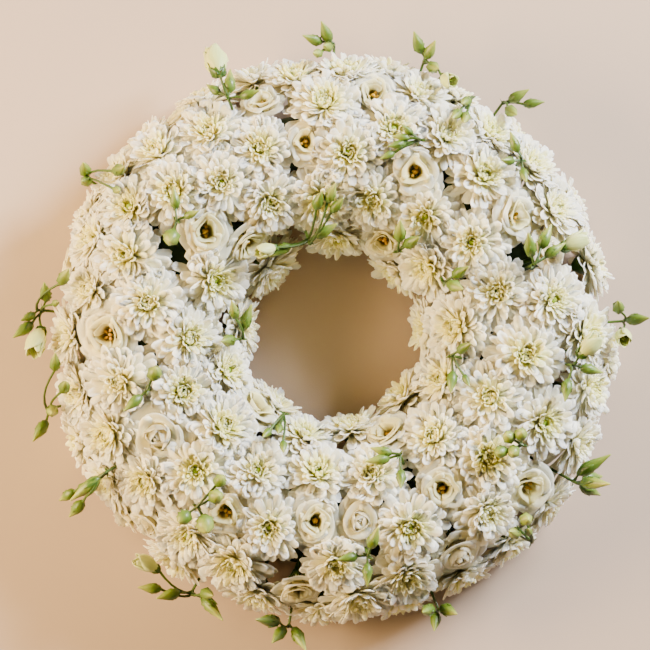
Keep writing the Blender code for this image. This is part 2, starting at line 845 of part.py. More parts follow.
def foam_ring(stems, look):
    """The domed foam with a plain hole for each stem, a little wider and deeper than the stem."""
    half = FOAM_WIDTH / 2
    floor = TRAY_WALL + CLEAR
    profile = [
        (RING_R - half, floor),
        (RING_R + half, floor),
        (RING_R + half, FOAM_SHOULDER),
        (RING_R + FOAM_DOME, FOAM_TOP),
        (RING_R - FOAM_DOME, FOAM_TOP),
        (RING_R - half, FOAM_SHOULDER),
    ]
    foam = revolve("foam_ring", profile, look)
    holes = []
    for s, r, side in stems:
        wide = r + CLEAR / math.cos(math.pi / STEM_SIDES) + 0.04
        low, high = stem_foot(s) - 1.0 * s.out, s.c - 22.0 * s.out
        holes.append(rod(low, high, wide, wide, STEM_SIDES, side))
    cutter = make_object("stem_holes", holes)
    cut = foam.modifiers.new("stem_holes", "BOOLEAN")
    cut.operation = "DIFFERENCE"
    cut.object = cutter
    cut.solver = "MANIFOLD"
    apply_modifiers(foam)
    bpy.data.objects.remove(cutter)


def tray_ring(look):
    """The shallow ring that the foam lies in."""
    inner = FOAM_WIDTH / 2 + TRAY_GAP
    outer = inner + TRAY_WALL
    profile = [
        (RING_R - outer, 0.0),
        (RING_R + outer, 0.0),
        (RING_R + outer, TRAY_LIP),
        (RING_R + inner, TRAY_LIP),
        (RING_R + inner, TRAY_WALL),
        (RING_R - inner, TRAY_WALL),
        (RING_R - inner, TRAY_LIP),
        (RING_R - outer, TRAY_LIP),
    ]
    revolve("tray_ring", profile, look)


def main():
    """Clears the scene and models every piece."""
    for ob in list(bpy.data.objects):
        bpy.data.objects.remove(ob)
    draw = random.Random(SEED)
    sites = lay_out(draw)
    stems = chrysanthemum_sprays(sites, draw, material("chrysanthemum_white", (0.86, 0.84, 0.76), 0.6))
    stems += lisianthus_blooms(sites, draw, material("lisianthus_cream", (0.86, 0.80, 0.62), 0.55))
    stems += bud_sprays(sites, material("bud_green", (0.36, 0.47, 0.14), 0.5))
    foam_ring(stems, material("wet_foam", (0.02, 0.05, 0.025), 0.9))
    tray_ring(material("tray_plastic", (0.012, 0.03, 0.016), 0.45))


main()
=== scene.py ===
"""Looks of the chrysanthemum and lisianthus wreath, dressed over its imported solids.

The wreath lies on its back: +Z is the way its flowers face, the photograph's up is +Y and its
right is +X. Every head, bloom and bud stands where its solid stands, because its place comes from
the same lists and the same rule. Places are worked out in millimetres, and a mesh is in metres.

A torus round the core circle sets everything out. A place on it is an angle round the ring, theta,
and an angle round the tube, phi. Stems run straight from the core circle through each place.
"""

import logging
import math
import random
from collections.abc import Callable, Iterable, Sequence
from dataclasses import dataclass, field
from enum import Enum

import bmesh
import bpy
import numpy as np
from mathutils import Matrix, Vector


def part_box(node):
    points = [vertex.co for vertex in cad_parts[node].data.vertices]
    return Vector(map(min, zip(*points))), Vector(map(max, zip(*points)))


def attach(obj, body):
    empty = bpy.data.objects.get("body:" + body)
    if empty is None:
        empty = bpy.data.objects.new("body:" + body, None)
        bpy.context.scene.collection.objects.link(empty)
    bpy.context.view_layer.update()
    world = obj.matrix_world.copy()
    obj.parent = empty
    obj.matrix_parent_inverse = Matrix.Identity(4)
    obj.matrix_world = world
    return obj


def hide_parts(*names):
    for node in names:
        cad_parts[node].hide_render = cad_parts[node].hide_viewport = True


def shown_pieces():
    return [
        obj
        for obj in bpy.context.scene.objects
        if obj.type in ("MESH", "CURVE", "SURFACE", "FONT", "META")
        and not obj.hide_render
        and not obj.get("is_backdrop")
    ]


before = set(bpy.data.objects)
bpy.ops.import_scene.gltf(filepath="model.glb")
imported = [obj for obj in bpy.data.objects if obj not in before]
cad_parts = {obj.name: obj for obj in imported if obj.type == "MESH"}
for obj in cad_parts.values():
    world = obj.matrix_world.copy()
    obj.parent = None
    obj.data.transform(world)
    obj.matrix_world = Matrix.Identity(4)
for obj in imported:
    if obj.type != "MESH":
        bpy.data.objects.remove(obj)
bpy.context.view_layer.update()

log = logging.getLogger("wreath")

Vec = np.ndarray
Colour = tuple[float, float, float]

MM = 0.001

# Driving dimensions in millimetres, the same as the solids'
RING_R = 143.5
CORE_Z = 24.0
HEAD_RHO = 70.0
BUD_RHO = 86.0
MUM_R = 27.0
RANK_STEP = 2.0
OVERHANG = 0.7
BUD_STEM_R = 1.15
STEM_END_RHO = 19.0
SEED = 94

# The photograph's scale and the ring's centre in it, in pixels
PIXEL = 0.8
PHOTO_X = 333.0
PHOTO_Y = 337.0

# Further than anything on the wreath, in millimetres
FAR = 1e9

# Where flower centres are in the photograph, in pixels, read off it
MUMS = """188,107 257,83 303,89 311,115 213,143 274,169 158,154 215,189 145,211 91,215 250,204
120,257 215,276 101,287 148,309 176,186 124,182 133,141 73,207 345,91 384,138 338,160 364,196
346,234 400,104 445,148 495,150 483,182 423,211 464,237 529,205 489,297 555,307 393,269 427,262
455,328 410,330 518,174 77,329 185,348 225,375 128,383 85,396 184,400 114,427 229,434 201,461
153,474 252,470 313,473 265,520 192,530 330,552 232,550 259,586 276,406 305,440 120,491 73,453
184,562 514,362 487,395 443,377 350,432 429,440 534,422 580,387 570,437 484,459 367,478 478,507
408,520 395,574 355,588 462,573 568,330"""

# Lisianthus: centre, radius, how far it leans right and up in hundredths, and how shut it is
BLOOMS = """175,132,21,-40,20,0 314,142,21,5,0,0 209,238,27,0,0,0 249,230,22,30,-25,0
78,256,22,-50,10,0 266,112,19,-10,10,0 410,177,24,0,0,0 379,108,22,0,-35,0 501,224,23,30,-20,0
375,238,21,25,35,0 543,250,19,20,10,1 122,342,26,10,-10,0 168,429,27,0,-20,1 245,406,24,10,10,0
230,513,22,0,0,0 303,518,23,5,-5,0 300,580,21,25,-30,0 100,524,22,-30,-25,1 153,520,21,-15,-25,1
386,441,24,-10,0,0 432,491,23,0,-10,0 517,486,23,-30,5,0 348,517,22,0,0,1 458,540,24,0,-15,1"""

# Bud sprays: where the stem comes out, then the middle and length of each bud. r is seen from its
# tip, and h is half open
BUDS = """104,196:87,172,24 88,184,22 123,177,24 121,198,16
233,122:216,68,40h 230,90,24 214,97,18 249,104,20
336,72:312,42,22 325,35,24 326,51,20 316,59,18
415,80:417,47,24 428,54,22 431,72,24 444,86,26h
488,122:508,116,24 515,98,22 531,105,20
458,120:462,108,20 450,124,20 459,127,20
505,176:511,158,20 500,169,18 516,183,18
398,156:398,146,16 392,156,18 411,149,14 382,165,16
520,272:536,244,24 522,262,26 545,257,22 563,248,30h
600,322:612,308,24 630,320,26 616,338,28h
552,366:573,355,30h 581,372,22 556,392,22
550,470:571,482,36 578,470,36 588,477,28 586,487,30
500,446:499,438,14r 511,440,14r 491,452,14r 507,449,14r
456,364:449,356,20 445,384,22 459,383,14
446,280:440,289,26 453,278,22
400,243:395,238,26 407,248,24
302,228:328,202,22 316,209,22 334,213,20 311,245,24 278,254,22 268,258,24h
224,346:234,314,20 246,323,26 228,344,26
180,228:177,208,20 189,225,16 174,246,18r
57,312:69,281,26 49,294,24 60,306,14 32,318,18 27,331,24 42,342,34h
76,402:60,364,22 70,388,24 56,411,26 44,430,24
147,390:158,377,16r 141,402,22
128,463:107,474,34 86,488,26 71,494,22 80,507,24
274,430:266,434,16 278,430,16 282,447,16
210,496:221,480,14r 217,495,16r 194,509,16r 207,521,20r
398,464:384,453,20 374,459,22 395,478,20
512,524:517,517,14r 506,530,24 521,528,16
362,544:367,541,24 344,554,20 363,562,20
187,580:153,585,22 170,591,24 209,590,24 213,604,32 150,562,28h
297,602:268,616,34 281,628,24 296,630,30
433,597:424,606,28 442,606,28 433,616,22"""


def unit(v: Vec) -> Vec:
    """A vector of length one in the same direction."""
    return v / np.linalg.norm(v)


def numbers(word: str) -> list[float]:
    """The numbers in a word, with commas between them."""
    return [float(v) for v in word.split(",")]


def in_photo(px: float, py: float) -> tuple[float, float]:
    """Where a pixel of the photograph lies over the ring, in millimetres."""
    return (px - PHOTO_X) * PIXEL, (PHOTO_Y - py) * PIXEL


def on_tube(theta: float | Vec, phi: float | Vec, rho: float = HEAD_RHO) -> Vec:
    """The point at rho from the core circle, for numbers or arrays.

    Args:
        theta: Angle round the ring.
        phi: Angle round the tube.
        rho: Distance from the core circle, in millimetres.

    Returns:
        The point or points, in millimetres.
    """
    r = RING_R + rho * np.cos(phi)
    return np.stack([r * np.cos(theta), r * np.sin(theta), CORE_Z + rho * np.sin(phi)], -1)


def core_of(p: Vec) -> Vec:
    """The point of the core circle that is nearest to p."""
    r = math.hypot(p[0], p[1])
    return np.array([p[0] * RING_R / r, p[1] * RING_R / r, CORE_Z])


def frame_of(n: Vec) -> tuple[Vec, Vec]:
    """Two directions square to n, which turn with it by the right-hand rule.

    Args:
        n: A direction, of length one.

    Returns:
        The two directions, of length one.
    """
    side = np.array([0.0, 0.0, 1.0]) if abs(n[2]) < 0.9 else np.array([1.0, 0.0, 0.0])
    e1 = unit(side - side.dot(n) * n)
    return e1, np.cross(n, e1)


def spoke(n: Vec, angle: float) -> Vec:
    """The direction square to n that lies at an angle round it."""
    e1, e2 = frame_of(n)
    return math.cos(angle) * e1 + math.sin(angle) * e2


def smooth(x: float | Vec, low: float, high: float) -> float | Vec:
    """Rises smoothly from 0 at low to 1 at high."""
    t = np.clip((x - low) / (high - low), 0.0, 1.0)
    return t * t * (3.0 - 2.0 * t)


class Kind(Enum):
    """What stands at a place on the ring."""

    MUM = "chrysanthemum head that the photograph shows"
    FILL = "chrysanthemum head low on a flank, where the photograph doesn't reach"
    BLOOM = "lisianthus bloom"
    BUD = "stem of a lisianthus bud spray"


@dataclass(eq=False)
class Site:
    """A place on the ring and what stands there.

    settle() adds c, its place in millimetres, out, the way its stem goes, and n, the way it faces.

    Attributes:
        kind: What stands there.
        theta: Angle round the ring.
        phi: Angle round the tube.
        space: Half the room that it keeps to, in millimetres.
        lean: How far its face leans right and up.
        shut: Whether a bloom is still rolled shut.
        buds: The words that give the buds of a spray.
        size: Radius of the head or bloom, in millimetres.
        rank: How far its outer petals lie over its neighbours'.
        walls: Each plane between it and a neighbour, as a normal and a limit along it.
    """

    kind: Kind
    theta: float
    phi: float
    space: float
    lean: tuple[float, float] = (0.0, 0.0)
    shut: bool = False
    buds: tuple[str, ...] = ()
    size: float = 0.0
    rank: float = 0.0
    walls: list[tuple[Vec, float]] = field(default_factory=list)

    def settle(self) -> None:
        """Takes the final place and the way the flower faces."""
        self.c = on_tube(self.theta, self.phi, HEAD_RHO + RANK_STEP * self.rank)
        self.out = unit(self.c - core_of(self.c))
        self.n = unit(self.out + np.array([self.lean[0], self.lean[1], 0.0]))

    def reach(self, d: Vec, w: float) -> float:
        """How far its room goes one way.

        Args:
            d: The way to look, of length one.
            w: How far up its axis to look from, in millimetres.

        Returns:
            The distance to the nearest wall, in millimetres.
        """
        least, level = 0.5, 1e-6
        most = FAR
        for normal, limit in self.walls:
            slope = normal.dot(d)
            if slope > level:
                most = min(most, (limit - normal.dot(self.c + w * self.n)) / slope)
        return max(most, least)


class Layout:
    """The places of all heads, blooms and bud sprays, by the rule that the solids follow."""

    # Half the room of each kind, the widest gap left, and how near a neighbour is, in millimetres
    MUM_SPACE = 22.5
    FILL_SPACE = 21.0
    BLOOM_SPACE = 18.5
    STEM_SPACE = 3.5
    WIDEST_GAP = 17.5
    NEIGHBOUR = 78.0

    # How far down the two flanks a place may be read, filled in and pushed, as angles round the tube
    READ = (0.16, 2.95)
    FILLED = (0.12, 2.95)
    PUSHED = (0.10, 3.0)
    GRID = (240, 40)

    # The spreading: its rounds, the share of their room that places keep, and their push and pull
    ROUNDS = 80
    KEEP = 0.97
    PUSH = 0.25
    PULL = 0.05

    # How much heads differ in size and rank
    SIZES = (0.94, 1.06)
    RANKS = (-0.6, 0.6)

    def __init__(self) -> None:
        """Lays out every place and its walls."""
        self.sites: list[Site] = []
        self.read()
        self.fill_flanks()
        self.spread()
        draw = random.Random(SEED)
        for s in self.sites:
            if s.kind in (Kind.MUM, Kind.FILL):
                s.size = MUM_R * draw.uniform(*self.SIZES)
                s.rank = draw.uniform(*self.RANKS)
            s.settle()
        self.build_walls()

    def angles(self, px: float, py: float) -> tuple[float, float]:
        """The two torus angles of a place in the photograph.

        Args:
            px: Pixels from the photograph's left.
            py: Pixels from its top.

        Returns:
            Theta and phi.
        """
        x, y = in_photo(px, py)
        across = min(max((math.hypot(x, y) - RING_R) / HEAD_RHO, -1.0), 1.0)
        return math.atan2(y, x), float(np.clip(math.acos(across), *self.READ))

    def read(self) -> None:
        """Reads the three lists of places."""
        for word in MUMS.split():
            self.sites.append(Site(Kind.MUM, *self.angles(*numbers(word)), self.MUM_SPACE))
        for word in BLOOMS.split():
            px, py, r, right, up, shut = numbers(word)
            lean = (right / 100, up / 100)
            place = self.angles(px, py)
            bloom = Site(Kind.BLOOM, *place, self.BLOOM_SPACE, lean, bool(shut), size=r * PIXEL)
            self.sites.append(bloom)
        for line in BUDS.splitlines():
            base, buds = line.split(":")
            place = self.angles(*numbers(base))
            self.sites.append(Site(Kind.BUD, *place, self.STEM_SPACE, buds=tuple(buds.split())))

    def fill_flanks(self) -> None:
        """Adds chrysanthemum heads where the widest gaps are, mostly low on both flanks."""
        round_ring, round_tube = self.GRID
        rows = np.linspace(*self.FILLED, round_tube)
        theta, phi = np.meshgrid(np.linspace(-math.pi, math.pi, round_ring, endpoint=False), rows)
        theta, phi = theta.ravel(), phi.ravel()
        grid = on_tube(theta, phi)
        gap = np.full(len(grid), FAR)
        for s in self.sites:
            near = np.linalg.norm(grid - on_tube(s.theta, s.phi), axis=1) - s.space
            gap = np.minimum(gap, near)
        while gap.max() > self.WIDEST_GAP:
            k = int(gap.argmax())
            self.sites.append(Site(Kind.FILL, float(theta[k]), float(phi[k]), self.FILL_SPACE))
            gap = np.minimum(gap, np.linalg.norm(grid - grid[k], axis=1) - self.FILL_SPACE)

    def spread(self) -> None:
        """Pushes places that crowd each other apart along the torus."""
        t = np.array([s.theta for s in self.sites])
        p = np.array([s.phi for s in self.sites])
        space = np.array([s.space for s in self.sites])
        listed = np.array([s.kind is not Kind.FILL for s in self.sites])[:, None]
        home = on_tube(t, p)
        for _ in range(self.ROUNDS):
            at = on_tube(t, p)
            apart = at[:, None] - at[None]
            far = np.linalg.norm(apart, axis=2) + np.eye(len(t)) * FAR
            short = np.clip(self.KEEP * (space[:, None] + space[None]) - far, 0, None) * self.PUSH
            move = (apart / far[..., None] * short[..., None]).sum(1) + self.PULL * (home - at) * listed
            round_ring = np.stack([-np.sin(t), np.cos(t), 0 * t], -1)
            round_tube = np.stack([-np.sin(p) * np.cos(t), -np.sin(p) * np.sin(t), np.cos(p)], -1)
            t = t + (move * round_ring).sum(1) / (RING_R + HEAD_RHO * np.cos(p))
            p = np.clip(p + (move * round_tube).sum(1) / HEAD_RHO, *self.PUSHED)
        for s, theta, phi in zip(self.sites, t, p, strict=True):
            s.theta, s.phi = float(theta), float(phi)
            s.settle()

    def build_walls(self) -> None:
        """Gives each flower the planes between it and its neighbours, leaning by rank."""
        flowers = [s for s in self.sites if s.kind is not Kind.BUD]
        for i, a in enumerate(flowers):
            for b in flowers[i + 1 :]:
                if np.linalg.norm(a.c - b.c) > self.NEIGHBOUR:
                    continue
                at = a.c + (b.c - a.c) * a.space / (a.space + b.space)
                inward = unit(core_of(at) - at)
                across = b.c - a.c
                across = unit(across - across.dot(inward) * inward)
                lean = OVERHANG * min(max(a.rank - b.rank, -1.0), 1.0)
                normal = math.cos(lean) * across + math.sin(lean) * inward
                a.walls.append((normal, float(normal.dot(at))))
                b.walls.append((-normal, -float(normal.dot(at))))

    def of(self, *kinds: Kind) -> list[Site]:
        """The places of some kinds, in order."""
        return [s for s in self.sites if s.kind in kinds]


class Value:
    """A shader socket that carries a number, so that maths on it reads as Python."""

    def __init__(self, graph: "Graph", socket: bpy.types.NodeSocket) -> None:
        """Wraps a socket of a graph."""
        self.graph = graph
        self.socket = socket

    def maths(self, operation: str, *others: "float | Value", swap: bool = False) -> "Value":
        """Adds a Math node.

        Args:
            operation: The node's operation.
            *others: The other values, after this one.
            swap: Whether this one comes second.

        Returns:
            The node's result.
        """
        values = [self, *others]
        if swap:
            values.reverse()
        inputs = dict(enumerate(values))
        return Value(self.graph, self.graph.node("Math", {"operation": operation}, inputs).outputs[0])

    def __add__(self, other: "float | Value") -> "Value":
        """Self plus other."""
        return self.maths("ADD", other)

    __radd__ = __add__

    def __sub__(self, other: "float | Value") -> "Value":
        """Self minus other."""
        return self.maths("SUBTRACT", other)

    def __rsub__(self, other: float) -> "Value":
        """Other minus self."""
        return self.maths("SUBTRACT", other, swap=True)

    def __mul__(self, other: "float | Value") -> "Value":
        """Self times other."""
        return self.maths("MULTIPLY", other)

    __rmul__ = __mul__

    def __pow__(self, other: "float | Value") -> "Value":
        """Self to the power of other."""
        return self.maths("POWER", other)

    def __abs__(self) -> "Value":
        """The size of self without its sign."""
        return self.maths("ABSOLUTE")

    def sine(self) -> "Value":
        """The sine of self."""
        return self.maths("SINE")

    def ramp(self, low: float, high: float) -> "Value":
        """Rises smoothly from 0 at low to 1 at high, or falls where low is the greater.

        Args:
            low: Where it is 0.
            high: Where it is 1.

        Returns:
            A number from 0 to 1.
        """
        settings = {"interpolation_type": "SMOOTHSTEP"}
        inputs = {0: self, 1: min(low, high), 2: max(low, high), 3: float(low > high), 4: float(low < high)}
        return Value(self.graph, self.graph.node("MapRange", settings, inputs).outputs[0])


class Graph:
    """The nodes of one material, ending in a Principled shader."""

    def __init__(self, name: str) -> None:
        """Makes an empty material with its shader and output.

        Args:
            name: The material's name.
        """
        self.material = bpy.data.materials.new(name)
        self.material.use_nodes = True
        self.tree = self.material.node_tree
        self.tree.nodes.clear()
        self.shader = self.node("BsdfPrincipled")
        self.node("OutputMaterial", inputs={"Surface": self.shader.outputs[0]})

    def node(
        self,
        kind: str,
        settings: dict[str, object] | None = None,
        inputs: dict[str | int, object] | None = None,
    ) -> bpy.types.Node:
        """Adds a node, sets it, and fills its sockets.

        Args:
            kind: The node's type without its ShaderNode prefix.
            settings: The node's own settings, and "stops" for a ramp.
            inputs: What fills its sockets, as fill() takes it.

        Returns:
            The new node.
        """
        made = self.tree.nodes.new("ShaderNode" + kind)
        for key, value in (settings or {}).items():
            if key == "stops":
                self.set_stops(made, value)
            else:
                setattr(made, key, value)
        self.fill(made, inputs or {})
        return made

    def fill(self, node: bpy.types.Node, inputs: dict[str | int, object]) -> None:
        """Fills a node's sockets.

        Args:
            node: The node.
            inputs: A number, colour, socket or Value for each named or numbered input.
        """
        for key, value in inputs.items():
            socket = node.inputs[key]
            if isinstance(value, Value):
                value = value.socket
            if isinstance(value, bpy.types.NodeSocket):
                self.tree.links.new(value, socket)
            elif isinstance(value, tuple) and socket.type == "RGBA":
                socket.default_value = (*value, 1.0)
            else:
                socket.default_value = value

    @staticmethod
    def set_stops(ramp: bpy.types.Node, stops: Sequence[tuple[float, Colour]]) -> None:
        """Gives a colour ramp its stops, from low to high.

        Args:
            ramp: The ramp's node.
            stops: The place and colour of each.
        """
        elements = ramp.color_ramp.elements
        while len(elements) < len(stops):
            elements.new(0.5)
        for element, (place, colour) in zip(elements, stops, strict=True):
            element.position = place
            element.color = (*colour, 1.0)

    def along_across(self) -> tuple[Value, Value]:
        """Reads a piece's own map.

        Returns:
            How far a place is from base to tip, and from edge to edge.
        """
        uv = self.node("UVMap", {"uv_map": "UVMap"})
        split = self.node("SeparateXYZ", inputs={0: uv.outputs[0]})
        return Value(self, split.outputs[0]), Value(self, split.outputs[1])

    def attribute(self, name: str) -> Value:
        """A number stored on the mesh."""
        return Value(self, self.node("Attribute", {"attribute_name": name}).outputs["Fac"])

    def noise(self, scale: float, detail: float) -> Value:
        """Noise in the object's own space.

        Args:
            scale: Grains for each metre.
            detail: How many finer rounds of noise lie over it.

        Returns:
            A number from 0 to 1.
        """
        place = self.node("TexCoord").outputs["Object"]
        made = self.node("TexNoise", inputs={"Vector": place, "Scale": scale, "Detail": detail})
        return Value(self, made.outputs[0])

    def cells(self, scale: float) -> Value:
        """How far a place is from the middle of its cell.

        Args:
            scale: Cells for each metre.

        Returns:
            A number from 0 up.
        """
        place = self.node("TexCoord").outputs["Object"]
        made = self.node("TexVoronoi", inputs={"Vector": place, "Scale": scale})
        return Value(self, made.outputs["Distance"])

    def mix(self, share: float | Value, a: object, b: object) -> bpy.types.NodeSocket:
        """A colour that is a where share is 0 and b where it is 1."""
        inputs = {0: share, 6: a, 7: b}
        return self.node("Mix", {"data_type": "RGBA", "clamp_factor": True}, inputs).outputs[2]

    def bump(self, height: Value, depth: float, strength: float = 1.0) -> None:
        """Feeds a height to the shader's normal.

        Args:
            height: The height, from 0 to 1.
            depth: What a height of 1 stands for, in millimetres.
            strength: How much of it shows.
        """
        made = self.node("Bump", inputs={"Height": height, "Distance": depth * MM, "Strength": strength})
        self.fill(self.shader, {"Normal": made.outputs[0]})

    def finish(self, **values: object) -> bpy.types.Material:
        """Sets the shader's sockets, where an underscore in a name stands for a space.

        Args:
            **values: A number, colour, socket or Value for each socket.

        Returns:
            The finished material.
        """
        self.fill(self.shader, {key.replace("_", " ").title(): value for key, value in values.items()})
        return self.material


@dataclass(frozen=True)
class PetalFinish:
    """A petal's colours from base to tip, its grooves and its glow.

    Attributes:
        name: The material's name.
        rim: Colour of its edges and tip, paler than the flesh: a painted highlight of light shining through
            the thin edges.
        flesh: Colour between them.
        middle: Colour towards the base.
        heart: Colour of the base of the youngest petals.
        grooves: How many grooves run along it.
        groove_depth: Their depth in millimetres.
        glow: Share of the light that passes through its flesh.
        throat: Colour at the very base of the innermost petals, or None: an olive tint, darkened as painted
            shade deep in the cup.
    """

    name: str
    rim: Colour
    flesh: Colour
    middle: Colour
    heart: Colour
    grooves: float
    groove_depth: float
    glow: float
    throat: Colour | None = None

    def make(self) -> bpy.types.Material:
        """The petal's material, from its own map and its age.

        Returns:
            The material.
        """
        g = Graph(self.name)
        along, across = g.along_across()
        age = g.attribute("age")
        shade = g.attribute("shade")
        # Edges and tip are mixed towards the rim colour: a painted highlight of light shining through the
        # thin edges
        edge = abs(across - 0.5).ramp(0.28, 0.5) + along.ramp(0.84, 1.0)
        flesh = g.mix(0.75 * edge, self.flesh, self.rim)
        to_base = (1.0 - along) ** 1.4
        body = g.mix(to_base * (0.14 + 0.85 * age), flesh, self.middle)
        body = g.mix(age.ramp(0.40, 0.80) * (0.74 + 0.25 * (1.0 - along)), body, self.middle)
        body = g.mix(age.ramp(0.84, 1.0) * (1.0 - 0.75 * along), body, self.heart)
        if self.throat is not None:
            # The throat's olive tint is darkened as painted shade where the cup is deep
            body = g.mix(age.ramp(0.55, 0.8) * along.ramp(0.62, 0.40), body, self.throat)
        mottle = g.noise(260.0, 3.0)
        aged = tuple(0.93 * c for c in self.middle)
        body = g.mix(0.05 * mottle + 0.05 * shade, body, aged)
        wave = (across * (2.0 * math.pi * self.grooves) + mottle * 1.2).sine()
        height = 0.5 + 0.38 * wave * along.ramp(0.0, 0.25) + 0.1 * mottle
        g.bump(height, self.groove_depth, 0.7)
        return g.finish(
            base_color=body,
            roughness=0.46 + 0.14 * mottle,
            subsurface_weight=self.glow,
            subsurface_radius=(1.0, 0.85, 0.62),
            subsurface_scale=0.004,
            sheen_weight=0.08,
            sheen_roughness=0.5,
        )


@dataclass(frozen=True)
class EyeFinish:
    """The tight, bumpy middle of a chrysanthemum head."""

    name: str
    light: Colour
    dark: Colour

    def make(self) -> bpy.types.Material:
        """A mass of unopened florets.

        Returns:
            The material.
        """
        g = Graph(self.name)
        mound = g.cells(1150.0)
        body = g.mix(mound.ramp(0.15, 0.75), self.light, self.dark)
        g.bump(1.0 - mound, 0.9)
        return g.finish(base_color=body, roughness=0.6, subsurface_weight=0.1, subsurface_scale=0.001)


@dataclass(frozen=True)
class GreenFinish:
    """Skin of a bud, sepal or stem, paler towards the tip.

    Attributes:
        name: The material's name.
        base: Colour at the foot.
        middle: Colour half way.
        tip: Colour at the tip.
        ribs: How many fine ribs run along it.
    """

    name: str
    base: Colour
    middle: Colour
    tip: Colour
    ribs: float

    def make(self) -> bpy.types.Material:
        """A waxy green skin with fine ribs along it.

        Returns:
            The material.
        """
        g = Graph(self.name)
        along, across = g.along_across()
        shade = g.attribute("shade")
        mottle = g.noise(420.0, 3.0)
        stops = [(0.0, self.base), (0.5, self.middle), (1.0, self.tip)]
        lift = along + 0.22 * (mottle - 0.5) + 0.35 * (shade - 0.5)
        body = g.node("ValToRGB", {"stops": stops}, {0: lift}).outputs[0]
        ribs = (across * (2.0 * math.pi * self.ribs) + along * 2.0).sine()
        body = g.mix(0.16 * ribs.ramp(0.2, 1.0) + 0.12 * mottle, body, self.base)
        g.bump(0.5 + 0.35 * ribs + 0.25 * mottle, 0.25, 0.7)
        return g.finish(
            base_color=body,
            roughness=0.40 + 0.14 * mottle,
            subsurface_weight=0.12,
            subsurface_scale=0.0015,
            coat_weight=0.08,
        )


@dataclass(frozen=True)
class StamenFinish:
    """Powdery pollen."""

    name: str
    colour: Colour

    def make(self) -> bpy.types.Material:
        """A grainy yellow-orange coat.

        Returns:
            The material.
        """
        g = Graph(self.name)
        grain = g.noise(2600.0, 2.0)
        dark = tuple(0.55 * c for c in self.colour)
        g.bump(grain, 0.35)
        return g.finish(base_color=g.mix(grain.ramp(0.35, 0.7), dark, self.colour), roughness=0.8)


@dataclass(frozen=True)
class FoamFinish:
    """Floral foam full of water: fine open cells, dark where wet."""

    name: str
    wet: Colour
    dry: Colour

    def make(self) -> bpy.types.Material:
        """Crumbly foam with pores of half a millimetre.

        Returns:
            The material.
        """
        g = Graph(self.name)
        pores = g.cells(1500.0)
        patches = g.noise(38.0, 4.0)
        crumbs = g.noise(520.0, 4.0)
        body = g.mix(patches.ramp(0.45, 0.75) * 0.6 + 0.25 * crumbs, self.wet, self.dry)
        g.bump(pores * 0.6 + crumbs * 0.8, 0.8)
        return g.finish(base_color=body, roughness=0.9 - 0.35 * patches.ramp(0.6, 0.4))


@dataclass(frozen=True)
class TrayFinish:
    """Dark green moulded plastic."""

    name: str
    colour: Colour
    worn: Colour

    def make(self) -> bpy.types.Material:
        """Satin plastic with a fine grain and dull water marks.

        Returns:
            The material.
        """
        g = Graph(self.name)
        grain = g.noise(1800.0, 2.0)
        marks = g.noise(45.0, 5.0)
        g.bump(grain, 0.06)
        return g.finish(
            base_color=g.mix(0.5 * marks.ramp(0.5, 0.8), self.colour, self.worn),
            roughness=0.34 + 0.30 * marks,
        )


@dataclass(frozen=True)
class FloorFinish:
    """The plain pale surface that the wreath is laid on."""

    name: str
    colour: Colour

    def make(self) -> bpy.types.Material:
        """Matt, pale and nearly even.

        Returns:
            The material.
        """
        g = Graph(self.name)
        drift = g.noise(2.2, 3.0)
        shade = tuple(0.93 * c for c in self.colour)
        g.bump(g.noise(900.0, 2.0), 0.08)
        return g.finish(base_color=g.mix(drift, shade, self.colour), roughness=0.85)


class Look(Enum):
    """Every finish on the wreath, by what it covers."""

    MUM_PETAL = PetalFinish(
        "chrysanthemum_petal",
        rim=(0.965, 0.92, 0.77),
        flesh=(0.955, 0.90, 0.69),
        middle=(0.985, 0.935, 0.21),
        heart=(0.78, 0.865, 0.07),
        grooves=3.0,
        groove_depth=0.10,
        glow=0.9,
    )
    BLOOM_PETAL = PetalFinish(
        "lisianthus_petal",
        rim=(0.97, 0.92, 0.63),
        flesh=(0.96, 0.885, 0.50),
        middle=(0.88, 0.79, 0.28),
        heart=(0.80, 0.70, 0.22),
        grooves=9.0,
        groove_depth=0.05,
        glow=0.8,
        # Olive throat, darkened as painted shade deep in the cup
        throat=(0.17, 0.125, 0.012),
    )
    BUD_PETAL = PetalFinish(
        "opening_bud_petal",
        rim=(0.70, 0.74, 0.34),
        flesh=(0.58, 0.65, 0.22),
        middle=(0.32, 0.45, 0.07),
        heart=(0.32, 0.45, 0.07),
        grooves=7.0,
        groove_depth=0.12,
        glow=0.15,
    )
    EYE_OPEN = EyeFinish("chrysanthemum_eye", (0.50, 0.64, 0.03), (0.20, 0.36, 0.01))
    EYE_DEEP = EyeFinish("chrysanthemum_pit", (0.20, 0.36, 0.015), (0.03, 0.08, 0.004))
    BUD = GreenFinish("bud_skin", (0.036, 0.088, 0.005), (0.115, 0.19, 0.014), (0.44, 0.48, 0.09), 5.0)
    SEPAL = GreenFinish("sepal", (0.024, 0.068, 0.004), (0.044, 0.105, 0.007), (0.10, 0.185, 0.015), 2.0)
    STEM = GreenFinish("stem", (0.028, 0.062, 0.004), (0.042, 0.090, 0.006), (0.07, 0.14, 0.011), 3.0)
    POLLEN = StamenFinish("pollen", (0.82, 0.47, 0.010))
    PISTIL = StamenFinish("pistil", (0.34, 0.34, 0.03))
    FOAM = FoamFinish("wet_foam", (0.010, 0.030, 0.014), (0.03, 0.075, 0.03))
    TRAY = TrayFinish("tray_plastic", (0.012, 0.032, 0.016), (0.045, 0.07, 0.05))
    FLOOR = FloorFinish("floor", (0.53, 0.40, 0.30))

    def material(self) -> bpy.types.Material:
        """The finish's material, made when it is first asked for."""
        found = bpy.data.materials.get(self.value.name)
        return found if found is not None else self.value.make()


